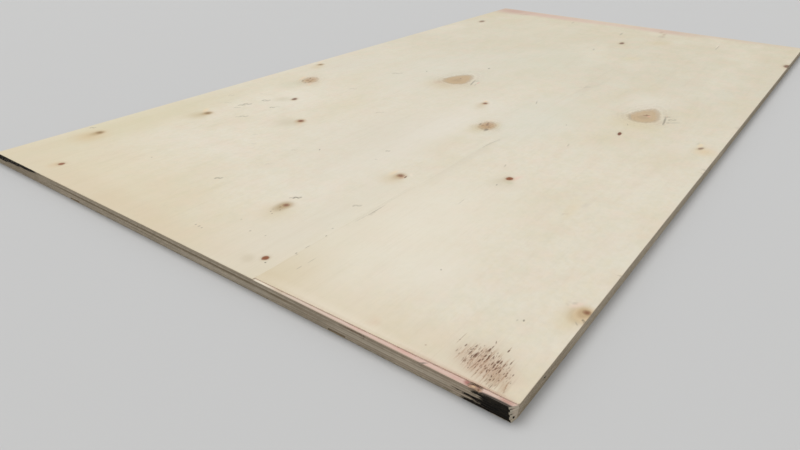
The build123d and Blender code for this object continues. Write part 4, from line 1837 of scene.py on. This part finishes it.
@dataclass(frozen=True)
class Studio:
    """The pale floor, the pale surroundings and the soft light."""

    floor_colour: str = "c9cacb"
    floor_half: float = 14.0
    floor_gap: float = 0.0003
    sky: float = 0.56
    backdrop: float = 0.86
    key: float = 1.42

    def build(self) -> None:
        """Builds the surroundings, the floor and the lamp."""
        self.build_world()
        self.build_floor()
        lamp = bpy.data.lights.new("key", "SUN")
        lamp.energy = self.key
        lamp.angle = math.radians(38)
        lamp.color = (1.0, 0.985, 0.96)
        add_object("key", lamp).rotation_euler = Euler((math.radians(-24), math.radians(16), 0.0))

    def build_world(self) -> None:
        """Lights evenly from all round, with a paler backdrop."""
        world = bpy.data.worlds.new("studio")
        bpy.context.scene.world = world
        world.use_nodes = True
        n = Nodes(world.node_tree)
        background = world.node_tree.nodes["Background"]
        path = n.add("ShaderNodeLightPath").outputs
        seen = n.math("MAXIMUM", path["Is Camera Ray"], path["Is Glossy Ray"])
        seen = n.math("MAXIMUM", seen, path["Is Transmission Ray"])
        n.feed(background, 0, (1.0, 0.995, 0.985, 1.0))
        n.feed(background, 1, n.line(seen, self.backdrop - self.sky, self.sky))

    def build_floor(self) -> None:
        """Lays a plain matt floor just under the sheet."""
        half, low = self.floor_half, -self.floor_gap
        mesh = bpy.data.meshes.new("studio_floor")
        corners = [(-half, -half, low), (half, -half, low), (half, half, low), (-half, half, low)]
        mesh.from_pydata(corners, [], [(0, 1, 2, 3)])
        material = bpy.data.materials.new("studio_floor")
        material.use_nodes = True
        shader = material.node_tree.nodes["Principled BSDF"]
        shader.inputs["Base Color"].default_value = linear(self.floor_colour)
        shader.inputs["Roughness"].default_value = 0.9
        mesh.materials.append(material)
        floor = add_object("studio_floor", mesh)


@dataclass(frozen=True)
class PhotoCamera:
    """The camera at the photograph's place and angle."""

    place: tuple[float, float, float] = (-1.7904, -0.8021, 0.5630)
    turn: tuple[float, float, float] = (61.947, -0.942, -51.519)
    lens: float = 29.387
    shift: float = 0.067

    def build(self) -> None:
        """Places the camera and makes it the scene's."""
        data = bpy.data.cameras.new("photo_camera")
        data.lens = self.lens
        data.sensor_width = 36.0
        data.shift_x = self.shift
        data.clip_start = 0.01
        camera = add_object("photo_camera", data)
        camera.location = self.place
        camera.rotation_euler = Euler([math.radians(a) for a in self.turn])
        bpy.context.scene.camera = camera


def log_piece(piece: bpy.types.Object) -> None:
    """Logs how large a piece's mesh is."""
    mesh = piece.data
    LOG.info("%s: %d points, %d faces", piece.name, len(mesh.vertices), len(mesh.polygons))


@dataclass
class PlywoodSheet:
    """The whole sheet: its plies and what splintered off them."""

    sheet: Sheet
    groups: EffectGroups

    def chip(self, start: float) -> Notch:
        """A chip in the back ply, whose teeth point along the grain."""
        width = self.sheet.chip_width
        places = [start + width * step / 6 for step in range(7)]
        depths = (0.0, 12.0, 18.0, 12.0, 18.0, 12.0, 18.0, 12.0, 0.0)
        return Notch(Side.NEAR_END, (start - 0.3, *places, start + width + 0.3), depths)

    def plies(self) -> list[Ply]:
        """Lists the plies from the face down."""
        s = self.sheet
        wear = FaceWear()
        arc = (-1.0, -0.9, -0.7, -0.4, 0.0, 0.4, 0.7, 0.9, 1.0)
        arc_depths = (0.0, 3.9, 6.4, 8.2, 9.0, 8.2, 6.4, 3.9, 0.0)
        worn = (
            Notch(Side.NEAR_SIDE, tuple(s.edge_knot + 17.0 * c for c in arc), arc_depths),
            Notch(Side.JOINT, (225.0, 256.0, 287.0, 319.0, 350.0), (0.12, 0.3, 0.9, 0.6, 0.12)),
            Notch(Side.NEAR_END, (46.0, 49.0, 55.0, 61.0, 64.0), (0.0, 2.0, 2.7, 2.0, 0.0)),
        )
        sliver = Notch(Side.NEAR_END, (212.0, 226.0, 249.0, 267.0), (0.0, 1.5, 1.5, 0.0), 0.0, 0.55)
        gap = Notch(Side.NEAR_SIDE, (84.0, 84.3, 85.5, 86.7, 87.0), (0.0, 20.0, 60.0, 20.0, 0.0))
        chips = (
            Notch(Side.NEAR_END, (828.0, 831.0, 838.0, 846.0, 848.5), (0.0, 4.0, 5.5, 4.0, 0.0), 0.0, 0.4),
            Notch(Side.NEAR_END, (796.0, 799.0, 803.0), (0.0, 2.2, 0.0), 0.0, 0.4),
            Notch(Side.NEAR_END, (134.0, 137.0, 140.0), (0.0, 2.0, 0.0), 0.0, 0.4),
            self.chip(s.near_chip),
            self.chip(s.far_chip),
        )
        along, across = Grain.LENGTH, Grain.WIDTH
        return [
            WideFaceVeneer("face_veneer_wide", "face_veneer", along, s, 21, wear=wear, blots=WIDE_BLOTS),
            NarrowFaceVeneer(
                "face_veneer_narrow", "face_veneer", along, s, 22, worn,
                bare_side=Side.NEAR_END, wear=wear, blots=NARROW_BLOTS,
            ),
            UpperCrossband("upper_crossband", "crossband", across, s, 31, (sliver,)),
            Ply("upper_long_ply", "long_ply", along, s, 32),
            Ply("centre_crossband", "crossband", across, s, 33, (gap,)),
            Ply("lower_long_ply", "long_ply", along, s, 34),
            Ply("lower_crossband", "crossband", across, s, 35),
            BackPly("back_ply", "back_ply", along, s, 36, chips, 1.6),
        ]

    def finishes(self) -> dict[str, bpy.types.Material]:
        """Builds the material of each slot and of each kind of loose fibre."""
        along, across = Grain.LENGTH, Grain.WIDTH
        looks = {
            "face_veneer": FaceFinish(),
            "crossband": PlyFinish("crossband_edge", across, "cbbda8", "a59782", "dfd0c1"),
            "long_ply": PlyFinish("long_ply_edge", along, "d2c6b1", "aa9e89", "d5c6a8"),
            "pale_fibre": FibreFinish("pale_fibre", "dccbb0", "94785a", 0.5),
            "singed_fibre": FibreFinish("singed_fibre", "d2bda2", "5a3a22", 0.9),
            "back_ply": PlyFinish("back_ply_edge", along, "d4c8b2", "ac9f89", "cdbb98"),
        }
        return {key: look.build(self.groups) for key, look in looks.items()}

    def build(self) -> None:
        """Builds every piece and hands it to the frame."""
        finishes = self.finishes()
        for ply in self.plies():
            piece = ply.build()
            piece.data.materials.append(finishes[ply.slot])
            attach(piece, "root")
            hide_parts(ply.node)
            log_piece(piece)
        scatter = FibreScatter(self.sheet)
        for patch in FIBRE_PATCHES:
            piece = scatter.build(patch, finishes[patch.finish])
            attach(piece, "root")
            log_piece(piece)


def main() -> None:
    """Builds the camera, the studio and the sheet."""
    logging.basicConfig(level=logging.INFO, format="%(name)s: %(message)s")
    bpy.context.scene.view_settings.view_transform = "Standard"
    PhotoCamera().build()
    Studio().build()
    PlywoodSheet(Sheet.from_frame(), EffectGroups()).build()


if __name__ == "__main__":
    main()
